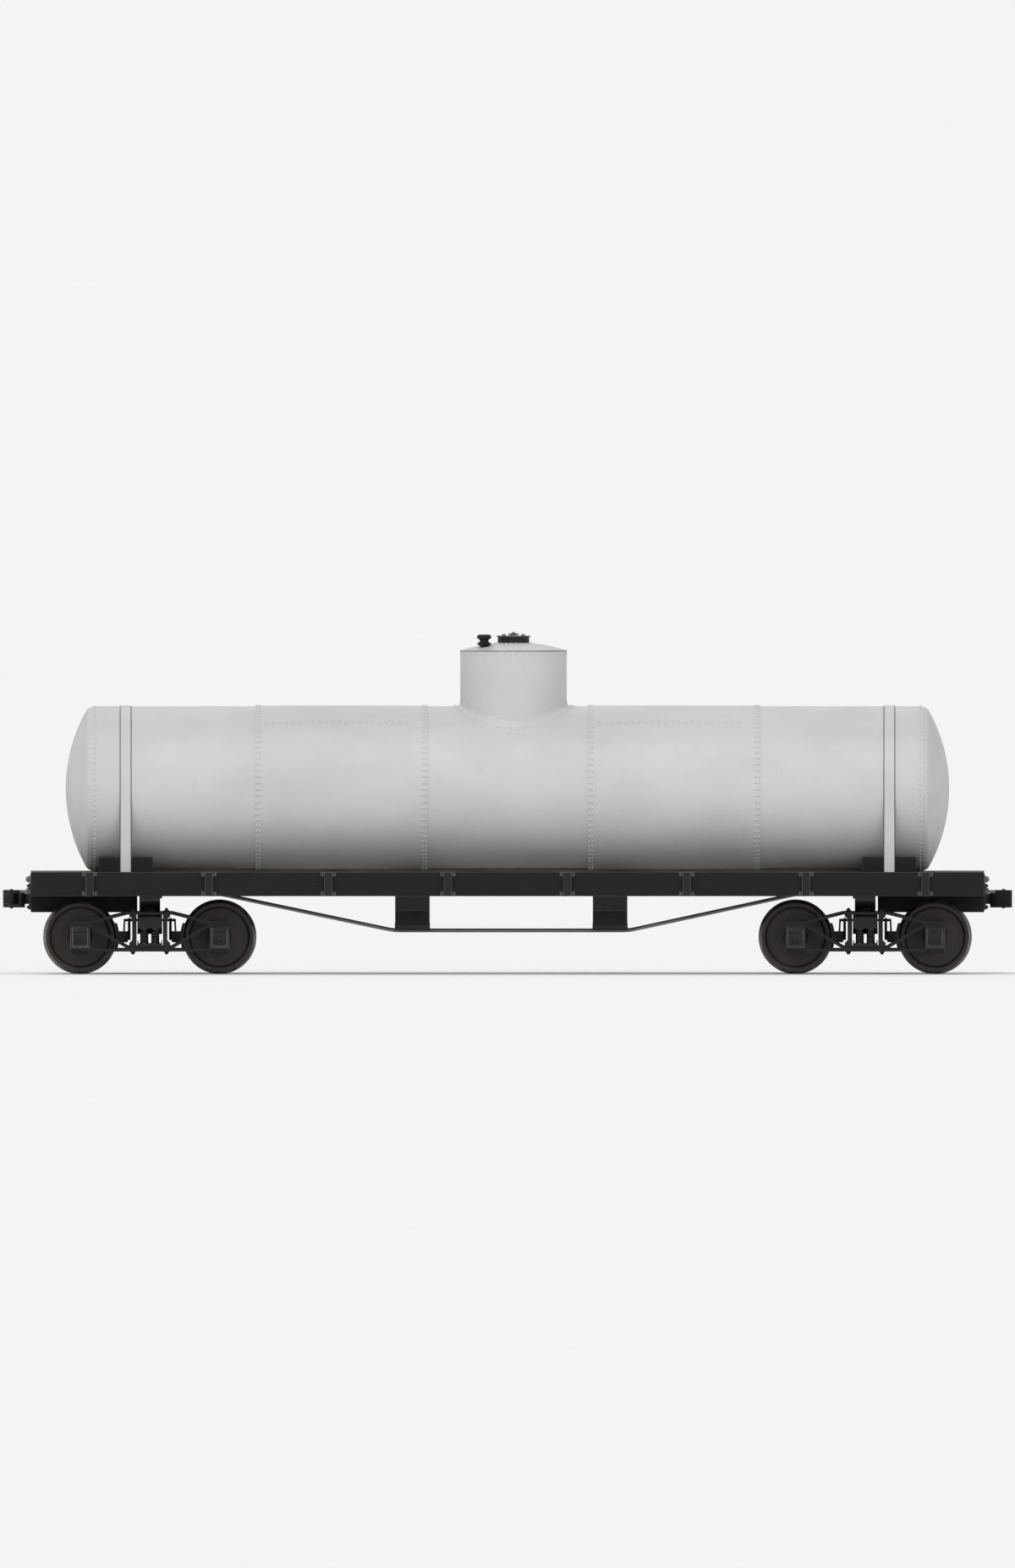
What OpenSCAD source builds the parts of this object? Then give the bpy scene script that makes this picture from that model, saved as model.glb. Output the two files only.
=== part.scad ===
// Railway tank car: a riveted steel tank with an expansion dome, carried on a timber
// underframe with truss rods, two arch-bar trucks and automatic knuckle couplers.
// Millimetres. +X runs along the car, +Z up. The origin is on the floor, under the
// middle of the car: the wheels stand on their flanges.

/* [Underframe] */
// Length over the end sills
car_l = 11460; // [9500:10:13800]
// Width over the side sills
car_w = 2640; // [2400:10:3200]
// Depth of the side sills
sill_h = 290; // [240:5:350]
// Thickness of the side sills
side_sill_w = 127; // [105:1:155]
// Thickness of the centre sills
centre_sill_w = 127; // [105:1:155]
// Clear gap between the two centre sills
centre_gap = 300; // [280:5:360]
// Thickness of the intermediate sills
inter_sill_w = 105; // [85:1:130]
// Thickness of the end sills, along the car
end_sill_t = 203; // [165:1:250]
// Thickness of the deck boards
board_t = 42; // [35:1:51]
// Nominal width of one deck board
board_w = 155; // [120:1:190]

/* [Tank] */
// Outside diameter of the tank
tank_d = 1985; // [1650:5:2180]
// From the face of the end sill to the crown of the tank head
tank_inset = 420; // [350:5:510]
// Thickness of the shell plate
shell_t = 10; // [8:0.5:13]
// Thickness of the head plate
head_t = 12; // [10:0.5:15]
// Crown radius of the dished heads
head_crown_r = 1920; // [1600:10:2400]
// Knuckle radius of the dished heads
head_knuckle_r = 90; // [75:1:110]
// Length of the head's flange inside the shell
head_flange = 100; // [80:1:125]
// From the crown of the head to the middle of the holding-down band
band_setback = 720; // [600:5:870]
// Width of the holding-down bands
band_w = 130; // [105:1:160]
// Thickness of the holding-down bands
band_t = 10; // [8:0.5:13]
// Length of a saddle block along the car
saddle_l = 650; // [540:5:780]
// Height of the saddle blocks above the deck
saddle_h = 180; // [150:5:220]

/* [Dome] */
// Outside diameter of the dome
dome_d = 1280; // [1060:5:1540]
// Height of the dome shell above the tank
dome_h = 670; // [555:5:810]
// Rise of the dome's crown
dome_rise = 100; // [80:1:120]
// Offset of the dome from the middle of the car
dome_x = 72; // [0:1:90]
// Outside diameter of the manhole neck
neck_d = 380; // [350:1:420]
// Bore of the manhole neck
neck_bore = 340; // [280:1:345]
// Height of the manhole neck above the crown
neck_h = 65; // [54:1:80]
// Diameter of the manhole cover
cover_d = 410; // [385:1:480]
// Thickness of the manhole cover
cover_t = 14; // [11:1:17]

/* [Truss rods] */
// Diameter of the truss rods
rod_d = 32; // [26:1:38]
// Depth of the rods below the sills between the posts
rod_drop = 420; // [350:5:500]
// Height of the rods above the sill bottoms over the bolsters
rod_lift = 195; // [160:5:220]
// Offset of the middle of the trusses from the middle of the car
truss_x = 45; // [0:1:60]
// From the middle of the trusses to the far face of a post
post_reach = 1396; // [1170:1:1670]
// Length of a post along the car
post_l = 416; // [350:1:500]
// Thickness of a post across the car
post_w = 90; // [75:1:110]
// Depth of the cross beams that carry the posts
beam_h = 175; // [145:5:210]
// Distance of the outer rods from the middle of the car
outer_rod_y = 1085; // [1060:1:1100]
// Distance of the inner rods from the middle of the car
inner_rod_y = 450; // [400:1:500]

/* [Stake pockets] */
// Number of pockets on each side
pocket_n = 8; // [4:1:10]
// From the face of the end sill to the first pocket
pocket_inset = 705; // [585:5:850]
// Width of a pocket
pocket_w = 96; // [80:1:115]
// Depth of a pocket out from the sill
pocket_d = 75; // [62:1:90]
// Wall of a pocket
pocket_t = 10; // [8:1:12]
// Width over the ears of a pocket
ear_w = 182; // [152:1:218]
// Height of an ear
ear_h = 56; // [46:1:67]

/* [Trucks] */
// From the face of the end sill to the truck's centre
truck_inset = 1430; // [1400:5:1720]
// Distance between the two axles of a truck
wheelbase = 1676; // [1600:2:2012]
// Diameter of the wheels at the tread
wheel_d = 838; // [698:2:1008]
// Height of the wheel flanges
flange_h = 25; // [21:1:30]
// Distance between the backs of the two wheels
back_to_back = 1353; // [1300:1:1400]
// Width of a wheel rim
rim_w = 140; // [125:1:145]
// Distance between the middles of the two journals
journal_centres = 1940; // [1930:1:2040]
// Diameter of the axle journals
journal_d = 108; // [90:1:130]
// Diameter of the axle's wheel seats
seat_d = 146; // [132:1:160]
// Thickness of the arch bars
bar_t = 32; // [26:1:38]
// Width of the arch bars
bar_w = 100; // [84:1:120]
// Clearance between the wheel flanges and the sills
frame_clear = 52; // [45:1:62]

/* [Couplers] */
// Depth of the coupler's centre line below the sill bottoms
coupler_drop = 39; // [32:1:46]
// From the face of the end sill to the coupler's pulling face
coupler_reach = 335; // [325:1:400]
// Size of the square coupler shank
shank = 127; // [106:1:140]
// Height of the knuckle
knuckle_h = 120; // [100:1:144]
// Diameter of the knuckle pin
knuckle_pin_d = 38; // [32:1:46]

/* [Brake and bottom fittings] */
// Outside diameter of the brake pipe
pipe_d = 42; // [35:1:50]
// Diameter of the brake cylinder
cylinder_d = 204; // [170:1:222]
// Diameter of the air reservoir
reservoir_d = 225; // [188:1:240]
// Outside diameter of the bottom outlet
outlet_d = 127; // [106:1:150]
// Outside diameter of the steam pipes
steam_d = 60; // [50:1:72]

/* [Hidden] */
$fn = 96;
large_fn = 240; // facets of the tank and dome where a mesh is made from them
eps = 1; // how far a cutting tool runs past the face that it cuts

// Heights
wheel_r = wheel_d / 2;
axle_z = wheel_r + flange_h;
sill_z = 2 * axle_z + frame_clear;
deck_z = sill_z + sill_h;
inner_top = deck_z - board_t - 3; // tops of the inner sills, which carry the boards
tank_r = tank_d / 2;
tank_z = deck_z + tank_r;
tank_top = tank_z + tank_r;
coupler_z = sill_z - coupler_drop;

// Places along the car
half_l = car_l / 2;
end_in = half_l - end_sill_t;
tank_half = half_l - tank_inset;
band_x = tank_half - band_setback;
truck_x = half_l - truck_inset;
saddle_in = band_x - saddle_l / 2;
saddle_out = band_x + saddle_l / 2;

// Places across the car
half_w = car_w / 2;
side_in = half_w - side_sill_w;
centre_y = (centre_gap + centre_sill_w) / 2;
inter_y = 692;
ledger_w = 55; // the strip inside a side sill that carries the ends of the deck
fit = 0.1; // gap of a pressed or bolted fit
seat_gap = 0.3; // gap of a seat on which pieces turn

// Iron and paint
tank_grey = [0.8, 0.8, 0.8];
frame_black = [0.06, 0.06, 0.06];
iron_grey = [0.35, 0.35, 0.35];
cast_black = [0.1, 0.1, 0.1];
timber = [0.3, 0.27, 0.24];
steel = [0.5, 0.48, 0.46];

// ---------- Helpers ----------

function unit(v) = v / norm(v);
function left_of(v) = [-v[1], v[0]];

// The corner direction of a bent bar's edge at point i, long enough to keep the bar's thickness
function corner(p, i) =
    i == 0 ? left_of(unit(p[1] - p[0])) :
    i == len(p) - 1 ? left_of(unit(p[i] - p[i - 1])) :
    let (
        a = left_of(unit(p[i] - p[i - 1])),
        b = left_of(unit(p[i + 1] - p[i])),
        m = unit(a + b)
    )
    m / (m * a);

// Outline of a flat bar of thickness t bent along the points p
function bent_bar(p, t) = concat(
    [for (i = [0:len(p) - 1]) p[i] + corner(p, i) * t / 2],
    [for (i = [len(p) - 1:-1:0]) p[i] - corner(p, i) * t / 2]
);

// Points of an arc about c from angle a to angle b
function arc(c, r, a, b, n) = [
    for (i = [0:n]) let (t = a + (b - a) * i / n) c + r * [cos(t), sin(t)]
];

// A side view outline in X and Z, given thickness w across the car and centred on y
module across(w, y = 0) translate([0, y + w / 2, 0]) rotate([90, 0, 0]) linear_extrude(w) children();

// An end view outline in Y and Z, given length l along the car and centred on x
module along(l, x = 0)
    translate([x - l / 2, 0, 0]) rotate([90, 0, 90]) linear_extrude(l) children();

// Turned over to the other side for s = -1, as drawn for s = 1
module side_y(s) mirror([0, s < 0 ? 1 : 0, 0]) children();

module side_x(s) mirror([s < 0 ? 1 : 0, 0, 0]) children();

module both_sides() {
    for (s = [-1, 1]) side_y(s) children();
}

// The same piece at both ends of the car, turned about the middle
module both_ends() {
    for (a = [0, 180]) rotate([0, 0, a]) children();
}

// A block given by its lowest and highest corners
module block(lo, hi) translate(lo) cube(hi - lo);

module x_cylinder(l, d) rotate([0, 90, 0]) cylinder(h = l, d = d, center = true);

module y_cylinder(l, d) rotate([90, 0, 0]) cylinder(h = l, d = d, center = true);

// A round bar that follows the points p, with a square collar of size collar at each bend
module round_bar(p, d, collar) {
    for (i = [0:len(p) - 2]) {
        v = p[i + 1] - p[i];
        translate(p[i])
            rotate([0, acos(v[2] / norm(v)), atan2(v[1], v[0])]) cylinder(h = norm(v), d = d);
    }
    for (i = [1:1:len(p) - 2]) translate(p[i]) cube([collar / 2, collar, collar], center = true);
}

// The space inside the tank's outer surface, grown by g
module tank_space(g = 0)
    translate([0, 0, tank_z]) x_cylinder(2 * tank_half, tank_d + 2 * g, $fn = large_fn);

// ---------- Tank ----------

// The head is dished to a crown arc that meets the flange in a knuckle arc
head_r = tank_r - shell_t - fit;
knuckle_drop = sqrt(pow(head_crown_r - head_knuckle_r, 2) - pow(head_r - head_knuckle_r, 2));
head_depth = head_crown_r - knuckle_drop;
crown_a = atan2(head_r - head_knuckle_r, knuckle_drop);
shell_half = tank_half - head_depth + 12; // the shell's edge laps past the tangent of the knuckle
course_n = 5; // rings of plate, every second one lapped over its neighbours
course_l = 2 * shell_half / course_n;
lap_w = 76;
lap_t = 8;

// Radius and height points of the head's surface, set in by t from the outside
function head_curve(t) = concat(
    [for (p = arc([0, tank_half - head_crown_r], head_crown_r - t, 90, 90 - crown_a, 16)) p],
    arc(
        [head_r - head_knuckle_r, tank_half - head_depth],
        head_knuckle_r - t, 90 - crown_a, 0, 6
    ),
    [[head_r - t, tank_half - head_depth - head_flange]]
);

module tank_shell() {
    color(tank_grey)
        difference() {
            union() {
                translate([0, 0, tank_z]) x_cylinder(2 * shell_half, tank_d, $fn = large_fn);
                for (i = [1:2:course_n - 2])
                    translate([-shell_half + (i + 0.5) * course_l, 0, tank_z])
                        x_cylinder(course_l + lap_w, tank_d + 2 * lap_t, $fn = large_fn);
            }
            translate([0, 0, tank_z])
                x_cylinder(2 * shell_half + 2 * eps, tank_d - 2 * shell_t, $fn = large_fn);
            translate([dome_x, 0, tank_z])
                cylinder(h = 2 * tank_r, d = dome_d - 2 * shell_t, $fn = large_fn);
            translate([dome_x, 0, 0]) cylinder(h = tank_z, d = outlet_d - 30);
        }
}

module tank_heads() {
    outer = head_curve(0);
    inner = head_curve(head_t);
    color(tank_grey)
        both_ends()
            translate([0, 0, tank_z])
                rotate([0, 90, 0])
                    rotate_extrude()
                        polygon(concat(outer, [for (i = [len(inner) - 1:-1:0]) inner[i]]));
}

module tank_bands() {
    foot_l = 80;
    color(tank_grey)
        for (s = [-1, 1])
            along(band_w, s * band_x) {
                translate([0, tank_z])
                    difference() {
                        circle(r = tank_r + band_t, $fn = large_fn);
                        circle(r = tank_r + fit, $fn = large_fn);
                        translate([-2 * tank_r, -2 * tank_r]) square([4 * tank_r, 2 * tank_r]);
                    }
                for (m = [0, 1])
                    mirror([m, 0]) {
                        translate([tank_r + fit, deck_z - 3])
                            square([band_t - fit, tank_z - deck_z + 3 + eps]);
                        translate([tank_r + fit, deck_z - 3]) square([foot_l, band_t]);
                    }
            }
}

// ---------- Dome ----------

dome_r = dome_d / 2;
shoulder_z = tank_top + dome_h;
dome_ball_r = (dome_r * dome_r + dome_rise * dome_rise) / (2 * dome_rise);
dome_ball_z = shoulder_z + dome_rise - dome_ball_r;
crown_z = shoulder_z + dome_rise;
cover_z = crown_z + neck_h;
hinge_y = cover_d / 2 + 26;
hinge_z = cover_z + cover_t / 2;
hinge_pin_d = 18;

module dome_shell() {
    color(tank_grey)
        translate([dome_x, 0, 0])
            difference() {
                translate([0, 0, tank_z])
                    cylinder(h = shoulder_z - tank_z, r = dome_r, $fn = large_fn);
                cylinder(h = 2 * shoulder_z, r = dome_r - shell_t, $fn = large_fn);
                translate([-dome_x, 0, 0]) tank_space(fit);
            }
}

module dome_crown() {
    inner_r = dome_ball_r - head_t;
    centre = [0, dome_ball_z];
    rim_a = asin((shoulder_z - dome_ball_z) / dome_ball_r);
    outer = arc(centre, dome_ball_r, 90 - asin(neck_bore / 2 / dome_ball_r), rim_a, 12);
    inner = arc(
        centre, inner_r, asin((shoulder_z - dome_ball_z) / inner_r),
        90 - asin(neck_bore / 2 / inner_r), 12
    );
    color(tank_grey) translate([dome_x, 0, 0]) rotate_extrude() polygon(concat(outer, inner));
}

module manhole_neck() {
    ear_t = 14;
    ear_x = 44;
    color(frame_black)
        translate([dome_x, 0, 0])
            difference() {
                union() {
                    translate([0, 0, shoulder_z]) cylinder(h = cover_z - shoulder_z, d = neck_d);
                    for (s = [-1, 1])
                        translate([s * (ear_x + ear_t / 2) - ear_t / 2, 0, 0])
                            block(
                                [0, neck_d / 2 - 15, crown_z],
                                [ear_t, hinge_y + 16, hinge_z + 14]
                            );
                    translate([0, hinge_y, hinge_z]) x_cylinder(2 * (ear_x + ear_t), hinge_pin_d);
                }
                translate([0, 0, shoulder_z - eps]) cylinder(h = 2 * dome_h, d = neck_bore);
                translate([0, 0, dome_ball_z]) sphere(r = dome_ball_r + fit, $fn = large_fn);
                translate([0, 0, cover_z]) cylinder(h = 2 * dome_h, d = cover_d + 20);
            }
}

module manhole_cover() {
    barrel_d = 36;
    color(iron_grey)
        translate([dome_x, 0, 0]) {
            difference() {
                union() {
                    translate([0, 0, cover_z + seat_gap]) cylinder(h = cover_t, d = cover_d);
                    block(
                        [-40, neck_d / 2, cover_z + seat_gap],
                        [40, hinge_y, cover_z + seat_gap + cover_t]
                    );
                    translate([0, hinge_y, hinge_z]) x_cylinder(84, barrel_d);
                    translate([0, 0, cover_z + cover_t - 2]) cylinder(h = 14, d1 = 80, d2 = 56);
                    for (s = [-1, 1])
                        translate([s * 0.28 * cover_d, 0, cover_z + cover_t - 4])
                            y_cylinder(0.5 * cover_d, 52);
                }
                translate([0, hinge_y, hinge_z]) x_cylinder(100, hinge_pin_d + 2 * seat_gap);
                translate([0, 0, cover_z - 100 + seat_gap]) cylinder(h = 100, d = neck_d + 20);
                translate([0, 0, cover_z]) cylinder(h = 50, d = 24 + 2 * fit);
            }
        }
}

// The screw that pulls the cover down, with its cross handle
module cover_screw() {
    handle_z = cover_z + cover_t + 20;
    color(iron_grey)
        translate([dome_x, 0, 0]) {
            translate([0, 0, cover_z + seat_gap]) cylinder(h = handle_z - cover_z, d = 24);
            translate([0, 0, handle_z - 7]) cylinder(h = 21, d = 40);
            translate([0, 0, handle_z + 14]) cylinder(h = 12, d1 = 40, d2 = 12);
            translate([0, 0, handle_z]) x_cylinder(130, 16);
        }
}

module safety_valve() {
    valve_at = [-353, -300];
    seat_z = dome_ball_z
        + sqrt(dome_ball_r * dome_ball_r - valve_at[0] * valve_at[0] - valve_at[1] * valve_at[1]);
    color(cast_black)
        difference() {
            translate([dome_x + valve_at[0], valve_at[1], seat_z])
                rotate_extrude()
                    polygon([
                        [0, -40], [46, -40], [46, 0], [90, 36], [54, 60], [52, 76], [93, 112],
                        [70, 145], [0, 145]
                    ]);
            translate([dome_x, 0, dome_ball_z]) sphere(r = dome_ball_r + fit, $fn = large_fn);
        }
}

// ---------- Saddles and bearers ----------

module tank_saddles() {
    color(frame_black)
        for (s = [-1, 1])
            difference() {
                translate([s * band_x, 0, 0])
                    block(
                        [-saddle_l / 2, -tank_r + 4, inner_top],
                        [saddle_l / 2, tank_r - 4, deck_z + saddle_h]
                    );
                tank_space(fit);
            }
}

module tank_bearers() {
    color(timber)
        both_sides()
            difference() {
                block(
                    [-saddle_in, centre_gap / 2, inner_top],
                    [saddle_in, centre_gap / 2 + centre_sill_w, deck_z + saddle_h]
                );
                tank_space(lap_t + fit);
            }
}

// ---------- Timber frame ----------

module side_sills() {
    color(frame_black)
        both_sides() {
            block([-half_l, side_in, sill_z], [half_l, half_w, deck_z]);
            block(
                [-end_in, side_in - ledger_w, inner_top - 60],
                [end_in, side_in + eps, inner_top]
            );
        }
}

// The centre and intermediate sills, and the cross bearers that carry the deck
module inner_sills() {
    bearer_n = 9;
    bearer_w = 90;
    bearer_h = 60;
    reach = truck_x - 220;
    color(timber)
        both_sides() {
            block(
                [-end_in, centre_gap / 2, sill_z],
                [end_in, centre_gap / 2 + centre_sill_w, inner_top]
            );
            block(
                [-end_in, inter_y - inter_sill_w / 2, sill_z],
                [end_in, inter_y + inter_sill_w / 2, inner_top]
            );
            for (i = [0:bearer_n - 1])
                translate([-reach + 2 * reach * i / (bearer_n - 1), 0, 0])
                    block(
                        [-bearer_w / 2, inter_y, inner_top - bearer_h],
                        [bearer_w / 2, side_in - ledger_w - fit, inner_top]
                    );
        }
}

pipe_y = -370;
pipe_z = sill_z + 50;
rod_hole = rod_d + 2;

module end_sills() {
    color(frame_black)
        for (e = [-1, 1])
            side_x(e)
            difference() {
                block([end_in, -side_in, sill_z], [half_l, side_in, deck_z]);
                block(
                    [end_in - eps, -shank / 2 - 14, sill_z - eps],
                    [half_l + eps, shank / 2 + 14, coupler_z + shank / 2 + 12]
                );
                for (y = [-outer_rod_y, -inner_rod_y, inner_rod_y, outer_rod_y])
                    translate([half_l - end_sill_t / 2, y, sill_z + rod_lift])
                        x_cylinder(end_sill_t + 2 * eps, rod_hole);
                translate([half_l - end_sill_t / 2, pipe_y, pipe_z])
                    x_cylinder(end_sill_t + 2 * eps, pipe_d + 1);
            }
}

pocket_pitch = (car_l - 2 * pocket_inset) / (pocket_n - 1);

module stake_pocket() {
    difference() {
        block([-pocket_w / 2, 0, sill_z], [pocket_w / 2, pocket_d, deck_z]);
        block(
            [-pocket_w / 2 + pocket_t, -eps, sill_z - eps],
            [pocket_w / 2 - pocket_t, pocket_d - pocket_t, deck_z + eps]
        );
    }
    for (z = [sill_z, deck_z - ear_h])
        for (s = [-1, 1])
            side_x(s) block([pocket_w / 2 - 2, 0, z], [ear_w / 2, pocket_t, z + ear_h]);
}

module stake_pockets() {
    color(frame_black)
        both_sides()
            for (i = [0:pocket_n - 1])
                translate([-half_l + pocket_inset + i * pocket_pitch, half_w + fit, 0])
                    stake_pocket();
}

module deck_boards() {
    gap = 4;
    inner_y = inter_y - inter_sill_w / 2 - 60;
    side_n = floor((side_in - inner_y) / board_w);
    side_pitch = (side_in - inner_y) / side_n;
    end_run = end_in - saddle_out;
    end_n = floor(end_run / board_w);
    end_pitch = end_run / end_n;
    strip_y = tank_r + 2;
    color(timber) {
        both_sides() {
            for (i = [0:side_n - 1])
                block(
                    [-saddle_in + gap, inner_y + i * side_pitch + gap / 2, inner_top],
                    [
                        saddle_in - gap, inner_y + (i + 1) * side_pitch - gap / 2,
                        inner_top + board_t
                    ]
                );
            for (s = [-1, 1])
                translate([s * band_x, 0, 0])
                    block(
                        [-saddle_l / 2, strip_y, inner_top],
                        [saddle_l / 2, side_in - gap / 2, inner_top + board_t]
                    );
        }
        both_ends()
            for (i = [0:end_n - 1])
                block(
                    [saddle_out + i * end_pitch + gap, -side_in + gap / 2, inner_top],
                    [saddle_out + (i + 1) * end_pitch, side_in - gap / 2, inner_top + board_t]
                );
    }
}

module draft_timbers() {
    color(frame_black)
        both_ends()
            both_sides()
                block(
                    [truck_x + 150, centre_gap / 2, sill_z - 200],
                    [half_l, centre_gap / 2 + 110, sill_z]
                );
}

// ---------- Bolsters and truss ----------

bolster_top = axle_z + 246; // top of the truck bolster
centre_plate_t = 18;
plate_z = bolster_top + centre_plate_t; // where the body rests on the truck
king_pin_d = 44;
bearing_y = 610;
body_plate_z = plate_z + 27; // underside of the body bolster
rod_collar = rod_d + 8; // the truss rods' forged bends, and how far these stay from what carries them
rod_trim = rod_collar / 4 + 5;

module body_bolster() {
    tip_y = half_w - 25;
    tip_h = 60;
    low_y = 260;
    bolster_l = 250;
    drop = sill_z - tip_h - body_plate_z;
    function under(y) = body_plate_z + drop * (y - low_y) / (tip_y - low_y);
    color(frame_black) {
        difference() {
            along(bolster_l, truck_x)
                polygon([
                    [-tip_y, sill_z], [-tip_y, sill_z - tip_h], [-low_y, body_plate_z],
                    [low_y, body_plate_z], [tip_y, sill_z - tip_h], [tip_y, sill_z]
                ]);
            for (s = [-1, 1])
                along(bolster_l + 2 * eps, truck_x)
                    polygon([
                        [s * 330, sill_z - 34], [s * 330, under(330) + 32],
                        [s * 560, under(560) + 32], [s * 560, sill_z - 34]
                    ]);
        }
        translate([truck_x, 0, plate_z + seat_gap])
            cylinder(h = body_plate_z - plate_z, d = 280);
        translate([truck_x, 0, axle_z + 110]) cylinder(h = 200, d = king_pin_d);
        for (s = [-1, 1])
            block(
                [truck_x - 60, s * bearing_y - 45, plate_z + 26],
                [truck_x + 60, s * bearing_y + 45, under(bearing_y) + 30]
            );
        // Saddles that lift the truss rods over the bolster
        for (y = [-outer_rod_y, -inner_rod_y, inner_rod_y, outer_rod_y])
            block(
                [truck_x + rod_trim, y - 35, sill_z - eps],
                [truck_x + rod_trim + 80, y + 35, sill_z + rod_lift - rod_d / 2 - fit]
            );
    }
}

module body_bolsters() both_ends() body_bolster();

post_mid = post_reach - post_l / 2;

module queen_posts() {
    rod_top = sill_z - rod_drop + rod_d / 2 + fit;
    color(frame_black)
        for (s = [-1, 1])
            translate([truss_x + s * post_mid, 0, 0]) {
                block(
                    [-post_l / 2, -half_w, sill_z - beam_h],
                    [post_l / 2, half_w, sill_z]
                );
                for (y = [-outer_rod_y, -inner_rod_y, inner_rod_y, outer_rod_y])
                    block(
                        [-post_l / 2, y - post_w / 2, rod_top],
                        [post_l / 2, y + post_w / 2, sill_z - beam_h + eps]
                    );
            }
}

module truss_rods() {
    nut = 56;
    washer_t = 12;
    high = sill_z + rod_lift;
    low = sill_z - rod_drop;
    post = post_reach + rod_trim;
    color(iron_grey)
        for (y = [-outer_rod_y, -inner_rod_y, inner_rod_y, outer_rod_y]) {
            round_bar(
                [
                    [-half_l - 60, y, high], [-truck_x, y, high],
                    [truss_x - post, y, low], [truss_x + post, y, low],
                    [truck_x, y, high], [half_l + 60, y, high]
                ],
                rod_d, rod_collar
            );
            for (s = [-1, 1]) {
                translate([s * (half_l + fit + washer_t / 2), y, high])
                    x_cylinder(washer_t, 2 * nut);
                translate([s * (half_l + washer_t + 16), y, high])
                    rotate([0, 90, 0]) cylinder(h = 32, d = nut, center = true, $fn = 6);
            }
        }
}

// ---------- Couplers ----------

// Outline of the coupler head seen from above, from the end sill's face outwards. Its
// throat is open towards the knuckle's side, and its guard arm is on the other side.
head_horn = 70;
head_back = coupler_reach - 150;
knuckle_at = [coupler_reach - 103, 104];
knuckle_swing = 112;
shank_tail = 620; // how far the shank reaches in behind the end sill's face
head_half_h = 105;

module coupler_head() {
    r = coupler_reach;
    linear_extrude(2 * head_half_h, center = true)
        polygon([
            [head_horn, -100], [head_horn, 100], [head_horn + 40, 132],
            [knuckle_at[0] - 10, 150], [knuckle_at[0] + 26, 142], [knuckle_at[0] + 44, 112],
            [knuckle_at[0] + 34, 76], [head_back - 6, 44], [head_back - 6, -58],
            [r - 96, -92], [r - 14, -148], [r, -188], [r - 22, -206], [head_back + 10, -160],
            [head_horn + 40, -128]
        ]);
}

module coupler() {
    translate([half_l, 0, coupler_z]) {
        difference() {
            union() {
                block([-shank_tail, -shank / 2, -shank / 2], [head_horn + 10, shank / 2, shank / 2]);
                coupler_head();
            }
            translate([knuckle_at[0], knuckle_at[1], 0])
                cylinder(h = knuckle_h + 4, r = knuckle_swing, center = true);
        }
        translate([knuckle_at[0], knuckle_at[1], 0])
            cylinder(h = 2 * head_half_h + 24, d = knuckle_pin_d, center = true);
    }
}

module couplers() color(cast_black) both_ends() coupler();

module knuckle() {
    tip = coupler_reach - knuckle_at[0];
    color(cast_black)
        translate([half_l + knuckle_at[0], knuckle_at[1], coupler_z])
            difference() {
                union() {
                    cylinder(h = knuckle_h, d = 84, center = true);
                    linear_extrude(knuckle_h, center = true) polygon([
                        [-24, 34], [26, 34], [tip - 25, 16], [tip - 5, -8], [tip, -34],
                        [tip, -112], [tip - 13, -130], [tip - 43, -132], [tip - 63, -116],
                        [tip - 67, -60], [6, -40], [-34, -50], [-66, -40], [-74, -14], [-58, 12]
                    ]);
                }
                cylinder(
                    h = knuckle_h + 2 * eps, d = knuckle_pin_d + 2 * seat_gap, center = true
                );
            }
}

module knuckle_a() rotate([0, 0, 180]) knuckle();

module knuckle_b() knuckle();

// Followers, springs and yoke in the pocket between the draft timbers
module draft_pocket() {
    pocket_l = 420;
    follower_t = 40;
    strap_t = 22;
    follower_z = 88;
    yoke_z = follower_z + strap_t;
    translate([half_l - shank_tail, 0, coupler_z]) {
        for (x = [-follower_t - fit, -pocket_l])
            block(
                [x, -centre_gap / 2 + fit, -follower_z],
                [x + follower_t, centre_gap / 2 - fit, follower_z]
            );
        for (s = [-1, 1])
            translate([-pocket_l / 2, s * 62, 0])
                x_cylinder(pocket_l - 2 * follower_t + eps, 104);
        for (z = [-yoke_z, follower_z])
            block([-pocket_l - 30, -50, z], [30, 50, z + strap_t]);
        block([-pocket_l - 30, -50, -yoke_z], [-pocket_l, 50, yoke_z]);
    }
}

// The striking casting on the end sill, and the iron under the shank that carries it
module striking_casting() {
    plate_t = 22;
    difference() {
        block(
            [half_l + fit, -210, sill_z - 170],
            [half_l + fit + plate_t, 210, sill_z + 150]
        );
        block(
            [half_l - eps, -shank / 2 - 14, coupler_z - shank / 2 - fit],
            [half_l + plate_t + eps, shank / 2 + 14, coupler_z + shank / 2 + 12]
        );
    }
    block(
        [half_l - 160, -centre_gap / 2 + fit, coupler_z - shank / 2 - 50],
        [half_l - 60, centre_gap / 2 - fit, coupler_z - shank / 2 - fit]
    );
}

module draft_gear() {
    color(cast_black)
        both_ends() {
            draft_pocket();
            striking_casting();
        }
}

// ---------- Brake and bottom fittings ----------

bay_in = centre_gap / 2 + centre_sill_w; // the bay between a centre and an intermediate sill
bay_out = inter_y - inter_sill_w / 2;
bay_y = (bay_in + bay_out) / 2;
bay_z = (sill_z + inner_top) / 2;

pull_d = 26; // the pull rods, which pass the drums on the outer side of the bay
pull_y = bay_out - 46;

// A plate that hangs a drum between two sills and guides the pull rod
module hanger_plate(x) {
    difference() {
        block([x - 10, bay_in + fit, bay_z - 60], [x + 10, bay_out - fit, bay_z + 60]);
        translate([x, pull_y, bay_z]) x_cylinder(40, pull_d + 1);
    }
}

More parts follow.
